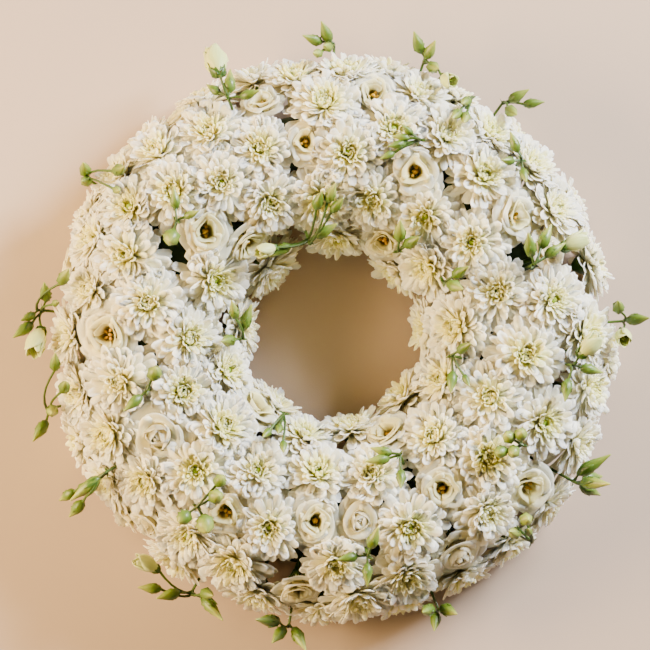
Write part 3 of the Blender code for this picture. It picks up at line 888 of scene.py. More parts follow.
class Bench:
    """Steps of modelling by hand that every piece uses."""

    @staticmethod
    def clear() -> None:
        """Leaves nothing selected."""
        bpy.ops.object.select_all(action="DESELECT")

    @staticmethod
    def select(obj: bpy.types.Object, chosen: Callable[[Vec], bool]) -> None:
        """Selects the vertices that a test picks.

        Args:
            obj: The object in edit mode.
            chosen: The test on a vertex's place.
        """
        mesh = bmesh.from_edit_mesh(obj.data)
        for v in mesh.verts:
            v.select = bool(chosen(np.array(v.co)))
        mesh.select_flush_mode()
        bmesh.update_edit_mesh(obj.data)

    @staticmethod
    def apply(obj: bpy.types.Object) -> None:
        """Applies the object's modifiers in order.

        Args:
            obj: The object.
        """
        bpy.context.view_layer.objects.active = obj
        for modifier in list(obj.modifiers):
            bpy.ops.object.modifier_apply(modifier=modifier.name)

    @staticmethod
    def join(name: str, parts: Sequence[bpy.types.Object]) -> bpy.types.Object:
        """Joins objects to one piece, smooth all over, whose object sits at the origin.

        Args:
            name: The piece's name.
            parts: Mesh objects at the origin.

        Returns:
            The piece.
        """
        Bench.clear()
        for part in parts:
            part.select_set(True)
        bpy.context.view_layer.objects.active = parts[0]
        if len(parts) > 1:
            bpy.ops.object.join()
        piece = bpy.context.view_layer.objects.active
        piece.name = name
        piece.data.name = name
        bpy.ops.object.shade_smooth()
        return piece

    @staticmethod
    def turn(name: str, profile: Sequence[tuple[float, float]], steps: int, look: Look) -> bpy.types.Object:
        """A ring drawn out of a circle, edge by edge, and closed.

        Args:
            name: The object's name.
            profile: Radius and height of each edge in turn, in millimetres.
            steps: Corners of the circle.
            look: Its finish.

        Returns:
            The ring, with its faces turned outward, smooth except over its sharp edges.
        """
        merge, sharp = 0.01 * MM, math.radians(40)
        Bench.clear()
        r, z = profile[0]
        bpy.ops.mesh.primitive_circle_add(
            vertices=steps, radius=r * MM, location=(0, 0, z * MM), enter_editmode=True
        )
        ring = bpy.context.active_object
        ring.name = name
        bpy.ops.mesh.select_all(action="SELECT")
        for (r0, z0), (r1, z1) in zip(profile, [*profile[1:], profile[0]], strict=True):
            bpy.ops.mesh.extrude_region_move(TRANSFORM_OT_translate={"value": (0.0, 0.0, (z1 - z0) * MM)})
            share = r1 / r0
            bpy.ops.transform.resize(value=(share, share, 1.0), center_override=(0.0, 0.0, z1 * MM))
        bpy.ops.mesh.select_all(action="SELECT")
        bpy.ops.mesh.remove_doubles(threshold=merge)
        bpy.ops.mesh.normals_make_consistent(inside=False)
        bpy.ops.object.mode_set(mode="OBJECT")
        bpy.ops.object.transform_apply(location=True, rotation=True, scale=True)
        ring.data.materials.append(look.material())
        bpy.ops.object.shade_smooth_by_angle(angle=sharp)
        return ring

    @staticmethod
    def keep(obj: bpy.types.Object, name: str, look: Look) -> bpy.types.Mesh:
        """Takes a shape off the bench as a mesh to copy.

        Args:
            obj: The shape, which is removed.
            name: The mesh's name.
            look: Its finish.

        Returns:
            The mesh, smooth, with the attributes age and shade.
        """
        bpy.ops.object.shade_smooth()
        for attribute in ("age", "shade"):
            obj.data.attributes.new(attribute, "FLOAT", "POINT")
        obj.data.materials.append(look.material())
        mesh = obj.data.copy()
        mesh.name = name
        bpy.data.objects.remove(obj)
        return mesh


@dataclass
class Blade:
    """A flat petal, sepal or leaf of length one, cut once and copied bent.

    Attributes:
        name: What it is.
        outline: Place along the blade and width there, from base to tip.
        across: Faces from edge to edge.
        thick: Its thickness as a share of its length.
        round_tip: How far the corners of its tip are drawn back.
        notch: How far the middle of its tip is drawn back.
        look: Its finish.
    """

    name: str
    outline: tuple[tuple[float, float], ...]
    across: int
    thick: float
    round_tip: float
    notch: float
    look: Look

    def __post_init__(self) -> None:
        """Cuts the blade from a grid and gives it its thickness."""
        near = 1e-4
        cells = len(self.outline) - 1
        Bench.clear()
        bpy.ops.mesh.primitive_grid_add(
            x_subdivisions=cells, y_subdivisions=self.across, size=1.0, location=(0.5, 0.0, 0.0)
        )
        obj = bpy.context.active_object
        bpy.ops.object.transform_apply(location=True)
        bpy.ops.object.mode_set(mode="EDIT")
        for k in reversed(range(cells + 1)):
            x, width = self.outline[k]
            here = k / cells
            Bench.select(obj, lambda p, here=here: abs(p[0] - here) < 0.2 / cells)
            bpy.ops.transform.resize(value=(1.0, width, 1.0), center_override=(here, 0.0, 0.0))
            if abs(x - here) > near:
                bpy.ops.transform.translate(value=(x - here, 0.0, 0.0))
        tip, width = self.outline[-1]
        Bench.select(obj, lambda p: p[0] > tip - near and abs(p[1]) > 0.45 * width)
        bpy.ops.transform.translate(value=(-self.round_tip, 0.0, 0.0))
        if self.notch:
            Bench.select(obj, lambda p: p[0] > tip - near and abs(p[1]) < 0.1 * width)
            bpy.ops.transform.translate(value=(-self.notch, 0.0, 0.0))
        bpy.ops.object.mode_set(mode="OBJECT")
        wall = obj.modifiers.new("flesh", "SOLIDIFY")
        wall.thickness = self.thick
        wall.offset = 0.0
        Bench.apply(obj)
        self.mesh = Bench.keep(obj, self.name, self.look)
        self.points = points_of(self.mesh)

    def copy(self, points: Vec, age: float, shade: float) -> bpy.types.Object:
        """A copy with its own mesh.

        Args:
            points: Where its points go, in millimetres.
            age: 0 for the oldest petals and 1 for the youngest.
            shade: A number from 0 to 1 of its own.

        Returns:
            The copy.
        """
        return copy_mesh(self.mesh, points, age, shade)

    def grow(self, bend: "Bend", age: float, shade: float) -> bpy.types.Object:
        """A copy that follows a bend, with its age and shade."""
        return self.copy(bend.apply(self.points), age, shade)


def points_of(mesh: bpy.types.Mesh) -> Vec:
    """The places of a mesh's vertices.

    Args:
        mesh: The mesh.

    Returns:
        A row for each vertex, in the mesh's own units.
    """
    found = np.zeros(len(mesh.vertices) * 3)
    mesh.vertices.foreach_get("co", found)
    return found.reshape(-1, 3)


def copy_mesh(mesh: bpy.types.Mesh, points: Vec, age: float, shade: float) -> bpy.types.Object:
    """A copy of a mesh as an object, with its points moved and none left below the floor.

    Args:
        mesh: The mesh to copy, with the attributes age and shade.
        points: Where its points go, in millimetres.
        age: The value of its age.
        shade: The value of its shade.

    Returns:
        The copy.
    """
    made = mesh.copy()
    placed = lift_off_floor(points) * MM
    made.vertices.foreach_set("co", placed.astype(np.float32).ravel())
    for name, value in (("age", age), ("shade", shade)):
        made.attributes[name].data.foreach_set("value", np.full(len(points), value, np.float32))
    obj = bpy.data.objects.new(mesh.name, made)
    bpy.context.scene.collection.objects.link(obj)
    return obj


def lift_off_floor(points: Vec, floor: float = 2.0, soft: float = 6.0) -> Vec:
    """Presses what would sink through the floor flat above it.

    Args:
        points: Places in millimetres.
        floor: The lowest that anything may lie.
        soft: The height below which the floor presses.

    Returns:
        The places, none below the floor.
    """
    z = points[:, 2]
    low = z < soft
    points[low, 2] = floor + (soft - floor) * np.exp((z[low] - soft) / (soft - floor))
    return points


@dataclass
class Bend:
    """How a blade leaves its flower: a curl in its length and a cup across it.

    Attributes:
        base: Where it starts, in millimetres.
        out: The way it goes, square to the flower's axis.
        axis: The flower's axis.
        long: Its length in millimetres.
        wide: Its width in millimetres.
        rise: The angle at which it leaves, up from out.
        curl: How much that angle grows to its tip.
        cup: How far its edges stand up, as a share of its width.
        twist: How far it turns about its own length to its tip.
    """

    base: Vec
    out: Vec
    axis: Vec
    long: float
    wide: float
    rise: float
    curl: float
    cup: float
    twist: float

    def apply(self, points: Vec) -> Vec:
        """Bends the points of a blade.

        Args:
            points: The flat blade's points.

        Returns:
            Where they go, in millimetres.
        """
        least_curl = 1e-3
        x, y, z = points.T
        curl = self.curl if abs(self.curl) > least_curl else least_curl
        angle = self.rise + curl * x
        far = (np.sin(angle) - math.sin(self.rise)) / curl
        up = (math.cos(self.rise) - np.cos(angle)) / curl
        side = np.cross(self.axis, self.out)
        normal = -np.sin(angle)[:, None] * self.out + np.cos(angle)[:, None] * self.axis
        roll = self.twist * x
        fullness = 0.4 + 0.6 * np.sin(math.pi * x)
        lift = z * self.long + self.cup * self.wide * (2.0 * y) ** 2 * fullness
        sway = self.wide * y
        across = (sway * np.cos(roll) - lift * np.sin(roll))[:, None] * side
        above = (sway * np.sin(roll) + lift * np.cos(roll))[:, None] * normal
        spine = self.long * (far[:, None] * self.out + up[:, None] * self.axis)
        return self.base + spine + across + above


@dataclass
class Tube:
    """A stem that follows a few points, thicker or thinner on its way.

    Attributes:
        points: The points, in millimetres.
        radii: The radius at each, in millimetres.
    """

    points: list[Vec]
    radii: list[float]


def tubes(name: str, stems: Iterable[Tube], look: Look, round_steps: int = 1) -> bpy.types.Object:
    """Stems as one mesh, from a curve with a round section.

    Args:
        name: The object's name.
        stems: The stems.
        look: Their finish.
        round_steps: How round the section is.

    Returns:
        The mesh object.
    """
    curve = bpy.data.curves.new(name, "CURVE")
    curve.dimensions = "3D"
    curve.bevel_depth = MM
    curve.bevel_resolution = round_steps
    curve.use_fill_caps = True
    for stem in stems:
        line = curve.splines.new("POLY")
        line.points.add(len(stem.points) - 1)
        for knot, p, r in zip(line.points, stem.points, stem.radii, strict=True):
            knot.co = (*(float(v) * MM for v in p), 1.0)
            knot.radius = r
    obj = bpy.data.objects.new(name, curve)
    bpy.context.scene.collection.objects.link(obj)
    Bench.clear()
    obj.select_set(True)
    bpy.context.view_layer.objects.active = obj
    bpy.ops.object.convert(target="MESH")
    obj = bpy.context.active_object
    obj.data.materials.clear()
    obj.data.materials.append(look.material())
    bpy.ops.object.shade_smooth()
    return obj


def arc(a: Vec, b: Vec, c: Vec, steps: int) -> list[Vec]:
    """Points on the smooth curve from a to c that leaves towards b."""
    shares = [k / steps for k in range(steps + 1)]
    return [(1 - t) ** 2 * a + 2 * t * (1 - t) * b + t * t * c for t in shares]


@dataclass
class Nub:
    """A small round body, turned on its axis from a profile, cut once and copied.

    Attributes:
        name: What it is.
        profile: Height and radius of each ring from foot to tip, at a length of one.
        sides: Corners of each ring.
        twist: How far the tip is turned against the foot.
        ridge: How far every other corner stands out, as a share of the radius.
        look: Its finish.
    """

    name: str
    profile: tuple[tuple[float, float], ...]
    sides: int
    twist: float
    ridge: float
    look: Look

    def __post_init__(self) -> None:
        """Shapes the body from a sphere, ring by ring, each parked above those still to come."""
        near, park = 1e-3, 10.0
        rings = len(self.profile)
        Bench.clear()
        bpy.ops.mesh.primitive_uv_sphere_add(
            segments=self.sides, ring_count=rings + 1, radius=1.0, location=(0, 0, 0)
        )
        obj = bpy.context.active_object
        bpy.ops.object.mode_set(mode="EDIT")
        for k in range(rings + 2):
            polar = math.pi * (1.0 - k / (rings + 1))
            here, radius = math.cos(polar), math.sin(polar)
            Bench.select(
                obj,
                lambda p, z=here, r=radius: abs(p[2] - z) < near and math.hypot(p[0], p[1]) > r - near,
            )
            if 1 <= k <= rings:
                height, wide = self.profile[k - 1]
                share = wide / radius
                bpy.ops.transform.resize(value=(share, share, 1.0), center_override=(0.0, 0.0, here))
                if self.twist:
                    turn = self.twist * height
                    bpy.ops.transform.rotate(value=turn, orient_axis="Z", center_override=(0.0, 0.0, here))
            else:
                height = 0.0 if k == 0 else 1.0
            bpy.ops.transform.translate(value=(0.0, 0.0, park + height - here))
        bpy.ops.mesh.select_all(action="SELECT")
        bpy.ops.transform.translate(value=(0.0, 0.0, -park))
        bpy.ops.mesh.normals_make_consistent(inside=False)
        bpy.ops.object.mode_set(mode="OBJECT")
        self.mesh = Bench.keep(obj, self.name, self.look)
        self.points = points_of(self.mesh)
        x, y, z = self.points.T
        wave = 1.0 + self.ridge * np.cos((np.arctan2(y, x) - self.twist * z) * self.sides / 2)
        self.points[:, :2] *= wave[:, None]
        self.run_map_upwards()

    def run_map_upwards(self) -> None:
        """Turns the sphere's map so that it runs along the body first and round it second."""
        data = self.mesh.uv_layers[0].data
        flat = np.zeros(len(data) * 2, np.float32)
        data.foreach_get("uv", flat)
        flat = flat.reshape(-1, 2)[:, ::-1].copy()
        data.foreach_set("uv", flat.ravel())

    def copy(
        self, foot: Vec, way: Vec, long: float, wide: float, shade: float, spin: float = 0.0
    ) -> bpy.types.Object:
        """A copy with its own mesh, standing on foot.

        Args:
            foot: Where it stands, in millimetres.
            way: The way it points.
            long: Its length in millimetres.
            wide: Its greatest radius in millimetres.
            shade: A number from 0 to 1 of its own.
            spin: How far it is turned on its axis.

        Returns:
            The copy.
        """
        e1 = spoke(way, spin)
        x, y, z = self.points.T
        round_axis = x[:, None] * e1 + y[:, None] * np.cross(way, e1)
        return copy_mesh(self.mesh, foot + wide * round_axis + long * z[:, None] * way, 0.0, shade)


class Cuts:
    """Everything that is modelled once: the petals, sepals, buds and small parts.

    A blade's outline gives place and width from base to tip, and a nub's profile gives height and
    radius from foot to tip.
    """

    SPOON = ((0.0, 0.36), (0.26, 0.62), (0.52, 0.88), (0.77, 1.0), (0.93, 0.88), (1.0, 0.48))
    NARROW = ((0.0, 0.40), (0.28, 0.68), (0.55, 0.96), (0.77, 0.96), (0.93, 0.66), (1.0, 0.28))
    QUILL = ((0.0, 0.5), (0.4, 0.86), (0.82, 1.0), (1.0, 0.42))
    FAN = (
        (0.0, 0.26), (0.14, 0.44), (0.30, 0.64), (0.48, 0.84),
        (0.66, 0.97), (0.82, 1.0), (0.93, 0.93), (1.0, 0.74),
    )
    OPENING = ((0.0, 0.3), (0.2, 0.62), (0.42, 0.94), (0.62, 1.0), (0.80, 0.86), (0.92, 0.56), (1.0, 0.18))
    SEPAL = ((0.0, 0.35), (0.2, 0.85), (0.45, 1.0), (0.75, 0.6), (1.0, 0.08))
    DOME = ((0.06, 0.62), (0.3, 0.95), (0.62, 0.86), (0.88, 0.5))
    SPINDLE = (
        (0.02, 0.28), (0.09, 0.62), (0.22, 0.92), (0.38, 1.0),
        (0.54, 0.84), (0.69, 0.58), (0.83, 0.33), (0.95, 0.16),
    )
    BALL = ((0.03, 0.3), (0.12, 0.66), (0.30, 0.95), (0.52, 1.0), (0.72, 0.82), (0.86, 0.52), (0.95, 0.22))
    CUP = ((0.04, 0.34), (0.22, 0.55), (0.45, 0.8), (0.72, 1.0), (0.97, 0.92))
    GRAIN = ((0.04, 0.5), (0.25, 0.95), (0.6, 1.0), (0.9, 0.55))

    def __init__(self) -> None:
        """Models each cut."""
        self.spoons = [
            Blade("spoon_petal", self.SPOON, 2, 0.016, 0.030, 0.0, Look.MUM_PETAL),
            Blade("narrow_petal", self.NARROW, 2, 0.016, 0.020, 0.0, Look.MUM_PETAL),
            Blade("notched_petal", self.SPOON, 2, 0.016, 0.0, 0.03, Look.MUM_PETAL),
        ]
        self.quill = Blade("quill_petal", self.QUILL, 2, 0.045, 0.02, 0.0, Look.MUM_PETAL)
        self.fan = Blade("fan_petal", self.FAN, 8, 0.012, 0.03, 0.0, Look.BLOOM_PETAL)
        self.opening = Blade("opening_petal", self.OPENING, 5, 0.022, 0.0, 0.0, Look.BUD_PETAL)
        self.leaf = Blade("sepal", self.SEPAL, 2, 0.05, 0.0, 0.0, Look.SEPAL)
        self.eye = Nub("eye", self.DOME, 10, 0.0, 0.0, Look.EYE_OPEN)
        self.pit = Nub("pit", self.DOME, 10, 0.0, 0.0, Look.EYE_DEEP)
        self.bud = Nub("bud", self.SPINDLE, 10, 2.3, 0.11, Look.BUD)
        self.round_bud = Nub("round_bud", self.BALL, 10, 1.6, 0.09, Look.BUD)
        self.calyx = Nub("calyx", self.CUP, 8, 0.0, 0.05, Look.SEPAL)
        self.anther = Nub("anther", self.GRAIN, 6, 0.0, 0.0, Look.POLLEN)
        self.pistil = Nub("pistil", self.GRAIN, 6, 0.0, 0.0, Look.PISTIL)


@dataclass
class Cutting:
    """Cut flowers that stand for one solid.

    Attributes:
        node: The solid's name.
        sites: Where its flowers stand.
        cuts: The petals and small parts that are copied.
        draw: The random numbers that all flowers draw in turn.
    """

    node: str
    sites: list[Site]
    cuts: Cuts
    draw: random.Random

    @staticmethod
    def stalk(site: Site, foot: Vec, deep: float, radii: list[float]) -> Tube:
        """A stem that leaves the foam and bends to a flower.

        Args:
            site: Where the flower stands.
            foot: Where the stem ends, under the flower.
            deep: How far from the core circle it starts, in millimetres.
            radii: Its radius at each of its points, in millimetres.

        Returns:
            The stem.
        """
        straight = 12.0
        start = core_of(site.c) + deep * site.out
        return Tube(arc(start, start + straight * site.out, foot, len(radii) - 1), radii)


@dataclass
class Chrysanthemums(Cutting):
    """The white heads of one spray, each on its own pedicel.

    Attributes:
        petal_count: How many petals a head has.
        deep_extra: How many more a head with a deep eye has.
        spread: A head's radius as a share of its solid's.
        pedicel_r: A pedicel's radius in millimetres.
    """

    petal_count: int = 140
    deep_extra: int = 12
    spread: float = 1.09
    pedicel_r: float = 1.7

    # The turn from one petal to the next
    GOLDEN = math.pi * (3.0 - math.sqrt(5.0))

    # Petals from the outermost, 0, to the innermost, 1: shares of the head's radius, and angles
    LONG = ((0, 0.2, 0.4, 0.55, 0.7, 0.85, 1), (0.98, 0.91, 0.75, 0.55, 0.37, 0.25, 0.16))
    WIDE = ((0, 0.35, 0.55, 0.7, 1), (0.29, 0.25, 0.175, 0.10, 0.065))
    RISE = ((0, 0.12, 0.3, 0.5, 0.75, 1), (-0.22, -0.02, 0.20, 0.44, 0.84, 1.28))
    CURL = ((0, 0.3, 0.6, 0.86, 1), (0.10, 0.22, 0.34, 0.5, 0.5))
    DEEP_CURL = ((0, 0.3, 0.6, 0.86, 1), (0.10, 0.22, 0.34, 1.5, 1.5))
    FOOT_OUT = ((0, 0.5, 0.8, 1), (0.10, 0.13, 0.15, 0.11))
    FOOT_UP = ((0, 0.5, 1), (-0.10, 0.02, 0.14))

    # Where quills take over from spoons, and where petals are too far in to meet a neighbour
    QUILLS = 0.52
    INNER = 0.62

    # How much the petals of a head differ in length, width and foot, and their cups and twists
    LONG_BY = (0.88, 1.06)
    WIDE_BY = (0.85, 1.18)
    FOOT_BY = (0.8, 1.15)
    CUP = (0.12, 0.40)
    TWIST = (-0.4, 0.4)

    # A petal's room: how high it is measured, how far the petal may lie over its edge in millimetres,
    # and further for each rank, the least share of its length that is left, and its steepest rise
    ROOM_AT = 0.12
    OVERLAP = 7.0
    RANK_OVERLAP = 3.0
    SHORTEST = 0.84
    STEEPEST = 1.0

    # As its room grows from the first to the second of these shares of the head's radius, a petal
    # grows longer and lies flatter, by up to the two amounts after them
    SPARE = (0.98, 1.35)
    LONGER = 0.14
    FLATTER = 0.18

    def crowd(
        self, head: Site, out: Vec, base_r: float, long: float, rise: float, curl: float
    ) -> tuple[float, float]:
        """Raises and shortens a petal where a neighbour leaves it no room.

        Args:
            head: The head that it grows on.
            out: The way it goes.
            base_r: How far from the axis it starts.
            long: Its length.
            rise: The angle at which it would leave.
            curl: How much that angle grows to its tip.

        Returns:
            Its length and its rise.
        """
        reach = head.reach(out, self.ROOM_AT * head.size)
        allowed = reach + self.OVERLAP + self.RANK_OVERLAP * head.rank
        wanted = base_r + long * math.cos(rise + 0.5 * curl)
        if wanted <= allowed:
            spare = float(smooth(reach / head.size, *self.SPARE))
            return long * (1.0 + self.LONGER * spare), rise - self.FLATTER * spare
        long = max(self.SHORTEST * long, long - 0.5 * (wanted - allowed))
        share = min(max((allowed - base_r) / long, 0.30), 1.0)
        return long, max(rise, min(math.acos(share) - 0.5 * curl, self.STEEPEST))

    def petals(self, head: Site) -> list[bpy.types.Object]:
        """The petals of one head, from the outermost to the innermost, and its eye.

        Args:
            head: The head.

        Returns:
            The petals and the eye.
        """
        draw = self.draw
        size = head.size * self.spread
        deep = draw.random() < 0.5
        count = self.petal_count + (self.deep_extra if deep else 0)
        start = draw.uniform(0.0, 2.0 * math.pi)
        yellow = draw.uniform(-0.12, 0.10)
        fullness = draw.uniform(0.85, 1.25)
        made = []
        for k in range(count):
            f = k / (count - 1)
            out = spoke(head.n, start + k * self.GOLDEN + draw.uniform(-0.07, 0.07))
            long = size * np.interp(f, *self.LONG) * draw.uniform(*self.LONG_BY)
            wide = size * np.interp(f, *self.WIDE) * draw.uniform(*self.WIDE_BY)
            loose = 0.10 + 0.22 * f
            rise = np.interp(f, *self.RISE) * fullness + draw.uniform(-loose, loose)
            curl = np.interp(f, *(self.DEEP_CURL if deep else self.CURL))
            curl += draw.uniform(-0.20, 0.22) * (1.0 + 1.8 * f)
            base_r = size * np.interp(f, *self.FOOT_OUT) * draw.uniform(*self.FOOT_BY)
            low = size * np.interp(f, *self.FOOT_UP)
            if f < self.INNER:
                long, rise = self.crowd(head, out, base_r, long, rise, curl)
            bend = Bend(
                base=head.c + low * head.n + base_r * out,
                out=out,
                axis=head.n,
                long=long,
                wide=wide,
                rise=rise,
                curl=curl,
                cup=draw.uniform(*self.CUP),
                twist=draw.uniform(*self.TWIST) * (1.0 + 1.8 * f),
            )
            cut = self.cuts.quill if f > self.QUILLS else draw.choice(self.cuts.spoons)
            age = min(max(f + yellow * f, 0.0), 1.0)
            made.append(cut.grow(bend, age, draw.random()))
        eye, high = (self.cuts.pit, 0.10) if deep else (self.cuts.eye, 0.16)
        made.append(eye.copy(head.c + 0.05 * size * head.n, head.n, high * size, 0.09 * size, 0.5))
        return made

    def build(self) -> bpy.types.Object:
        """The spray's heads with their calyxes and pedicels, as one piece.

        Returns:
            The piece.
        """
        parts: list[bpy.types.Object] = []
        stems = []
        for head in self.sites:
            parts += self.petals(head)
            foot = head.c - 0.50 * head.size * head.n
            parts.append(self.cuts.calyx.copy(foot, head.n, 0.42 * head.size, 0.30 * head.size, 0.3))
            stems.append(self.stalk(head, foot + 1.5 * head.n, 24.0, [self.pedicel_r] * 4))
        parts.append(tubes(self.node + "_pedicels", stems, Look.STEM))
        return Bench.join(self.node + "_flowers", parts)


@dataclass(frozen=True)
class Whorl:
    """One round of lisianthus petals, in shares of the bloom's size.

    Attributes:
        count: How many petals.
        foot: Radius and height where they start.
        rim: Radius and height of their rims.
        wrap: The angle that each covers.
        flare: How far the rim rolls out.
        ruffle: How far the rim waves in and out.
        age: 0 for the outermost and 1 for the innermost.
        straight: How far their rims run straight instead of round.
        belly: How far they bulge half way up.
    """

    count: int
    foot: tuple[float, float]
    rim: tuple[float, float]
    wrap: float
    flare: float
    ruffle: float
    age: float
    straight: float = 0.0
    belly: float = 0.0


class Form(Enum):
    """How far a lisianthus bloom has opened."""

    OPEN = (
        Whorl(5, (0.12, -0.62), (1.05, 0.26), 1.80, 0.18, 0.070, 0.0),
        Whorl(4, (0.13, -0.55), (0.80, 0.46), 2.10, 0.10, 0.055, 0.3, 0.15),
        Whorl(4, (0.15, -0.50), (0.58, 0.54), 2.10, 0.07, 0.040, 0.75, 0.35),
        Whorl(3, (0.17, -0.46), (0.38, 0.46), 2.60, 0.02, 0.025, 1.0, 0.55),
    )
    GOBLET = (
        Whorl(5, (0.12, -0.66), (1.05, 0.22), 1.85, 0.20, 0.070, 0.0),
        Whorl(4, (0.15, -0.58), (0.82, 0.50), 2.20, 0.12, 0.060, 0.3, 0.2),
        Whorl(3, (0.18, -0.52), (0.46, 0.56), 2.60, 0.05, 0.035, 1.0, 0.55),
    )
    SHUT = (
        Whorl(5, (0.12, -0.62), (1.05, 0.22), 1.80, 0.20, 0.060, 0.0),
        Whorl(3, (0.16, -0.55), (0.72, 0.46), 2.90, 0.12, 0.040, 0.2, 0.2),
        Whorl(3, (0.20, -0.45), (0.30, 0.60), 2.60, 0.00, 0.015, 0.35, 0.7, 0.20),
        Whorl(3, (0.16, -0.40), (0.13, 0.66), 2.60, -0.02, 0.008, 0.45, 0.8, 0.24),
        Whorl(2, (0.10, -0.30), (0.04, 0.64), 3.00, -0.02, 0.005, 0.5, 0.5, 0.20),
    )


@dataclass
class Lisianthus(Cutting):
    """The cream blooms of one node, each on its own stem.

    Attributes:
        stem_r: A stem's radius in millimetres.
        wide_open: The least radius of a bloom that is always wide open, in millimetres.
    """

    stem_r: float = 1.9
    wide_open: float = 19.5

    def petal(self, bloom: Site, whorl: Whorl, a0: float, skew: float, squeeze: float) -> bpy.types.Object:
        """One broad petal wrapped round the bloom's axis.

        Args:
            bloom: The bloom.
            whorl: Its round of petals.
            a0: The angle of the petal's middle.
            skew: How far one edge tucks under the next petal.
            squeeze: The bloom's width one way, as a share of its width the other way.

        Returns:
            The petal.
        """
        draw = self.draw
        size = bloom.size
        e1, e2 = frame_of(bloom.n)
        x, y, z = self.cuts.fan.points.T
        u = 2.0 * y
        stretch = draw.uniform(0.94, 1.05)
        reach = x * stretch
        bulge = np.sin(0.5 * math.pi * np.clip(reach, 0, 1))
        rim = smooth(x, 0.45, 1.0)
        lip = smooth(x, 0.70, 1.05)
        phase, waves = draw.uniform(0, 6.28), draw.uniform(2.2, 3.4)
        wave = np.sin(waves * math.pi * u * 0.5 + phase) + 0.5 * np.sin(2.3 * waves * u + 2.0 * phase)
        r = whorl.foot[0] + (whorl.rim[0] - whorl.foot[0]) * (0.45 * bulge + 0.55 * reach**1.7)
        half = 0.5 * whorl.wrap * u
        r = r * (1.0 + whorl.straight * rim * (1.0 / np.cos(np.clip(half, -0.95, 0.95)) - 1.0))
        h = whorl.foot[1] + (whorl.rim[1] - whorl.foot[1]) * (0.75 * bulge + 0.25 * reach)
        r = r + whorl.belly * np.sin(math.pi * np.clip(reach, 0, 1))
        r = r + whorl.flare * lip + whorl.ruffle * rim * wave + skew * u * (0.3 + 0.7 * x)
        h = h - 0.9 * whorl.flare * lip**2 + 0.6 * whorl.ruffle * rim * np.roll(wave, 3)
        h = h - 1.4 * skew * whorl.straight * u * rim
        slope = np.arctan2(np.cos(0.5 * math.pi * np.clip(reach, 0, 1)) + 0.25, 0.5 + reach)
        off = z * size * 0.9
        a = a0 + half
        radial = np.cos(a)[:, None] * squeeze * e1 + np.sin(a)[:, None] * e2
        r = size * r - off * np.sin(slope)
        h = size * h + off * np.cos(slope)
        points = bloom.c + r[:, None] * radial + h[:, None] * bloom.n
        return self.cuts.fan.copy(points, whorl.age, draw.random())

    def heart(self, bloom: Site) -> list[bpy.types.Object]:
        """Stamens round a pistil, deep in an open throat.

        Args:
            bloom: The bloom.

        Returns:
            The pistil, the anthers and their filaments.
        """
        draw = self.draw
        size = bloom.size
        low = bloom.c - 0.22 * size * bloom.n
        made = [self.cuts.pistil.copy(low, bloom.n, 0.34 * size, 0.075 * size, 0.5)]
        filaments = []
        for k in range(5):
            out = spoke(bloom.n, 2.0 * math.pi * (k + draw.uniform(-0.35, 0.35)) / 5)
            way = unit(bloom.n * draw.uniform(0.2, 1.0) + draw.choice((-0.7, 0.8)) * out)
            top = low + (0.11 * size) * out + (0.20 * size + draw.uniform(0, 2.0)) * bloom.n
            filaments.append(Tube([low - 3.0 * bloom.n + 0.05 * size * out, top], [0.35, 0.3]))
            made.append(self.cuts.anther.copy(top, way, draw.uniform(3.2, 4.2), 1.3, 0.5))
        made.append(tubes(self.node + "_filaments", filaments, Look.PISTIL, 0))
        return made

    def sepal(self, bloom: Site, foot: Vec, angle: float) -> bpy.types.Object:
        """A thin pointed sepal under a bloom.

        Args:
            bloom: The bloom.
            foot: Where its stem ends.
            angle: The sepal's angle round it.

        Returns:
            The sepal.
        """
        out = spoke(bloom.n, angle)
        bend = Bend(foot + 2.0 * out, out, bloom.n, 0.85 * bloom.size, 3.0, 1.05, -0.35, 0.2, 0.0)
        return self.cuts.leaf.grow(bend, 0.0, self.draw.random())

    def build(self) -> bpy.types.Object:
        """The blooms with their throats, calyxes and stems, as one piece.

        Returns:
            The piece.
        """
        draw = self.draw
        parts: list[bpy.types.Object] = []
        stems = []
        for bloom in self.sites:
            form = Form.OPEN if bloom.size > self.wide_open or draw.random() < 0.3 else Form.GOBLET
            form = Form.SHUT if bloom.shut else form
            start = draw.uniform(0, 6.28)
            skew = draw.choice((-1.0, 1.0)) * draw.uniform(0.06, 0.09)
            squeeze = draw.uniform(0.84, 1.0)
            for number, whorl in enumerate(form.value):
                turn = start + 0.7 * number
                for k in range(whorl.count):
                    a = turn + 2.0 * math.pi * (k + draw.uniform(-0.06, 0.06)) / whorl.count
                    parts.append(self.petal(bloom, whorl, a, skew, squeeze))
            if not bloom.shut:
                parts += self.heart(bloom)
            foot = bloom.c - 0.86 * bloom.size * bloom.n
            parts.append(self.cuts.calyx.copy(foot, bloom.n, 0.34 * bloom.size, 0.20 * bloom.size, 0.3))
            parts += [self.sepal(bloom, foot, 2.0 * math.pi * k / 5) for k in range(5)]
            radii = [self.stem_r] * 4 + [self.stem_r * 1.2]
            stems.append(self.stalk(bloom, foot + 1.0 * bloom.n, 22.0, radii))
        parts.append(tubes(self.node + "_stems", stems, Look.STEM))
        return Bench.join(self.node + "_petals", parts)


class BudState(Enum):
    """What a bud looks like, with its half width as a share of its length."""

    CLOSED = 0.19
    END_ON = 0.34
    HALF_OPEN = 0.27


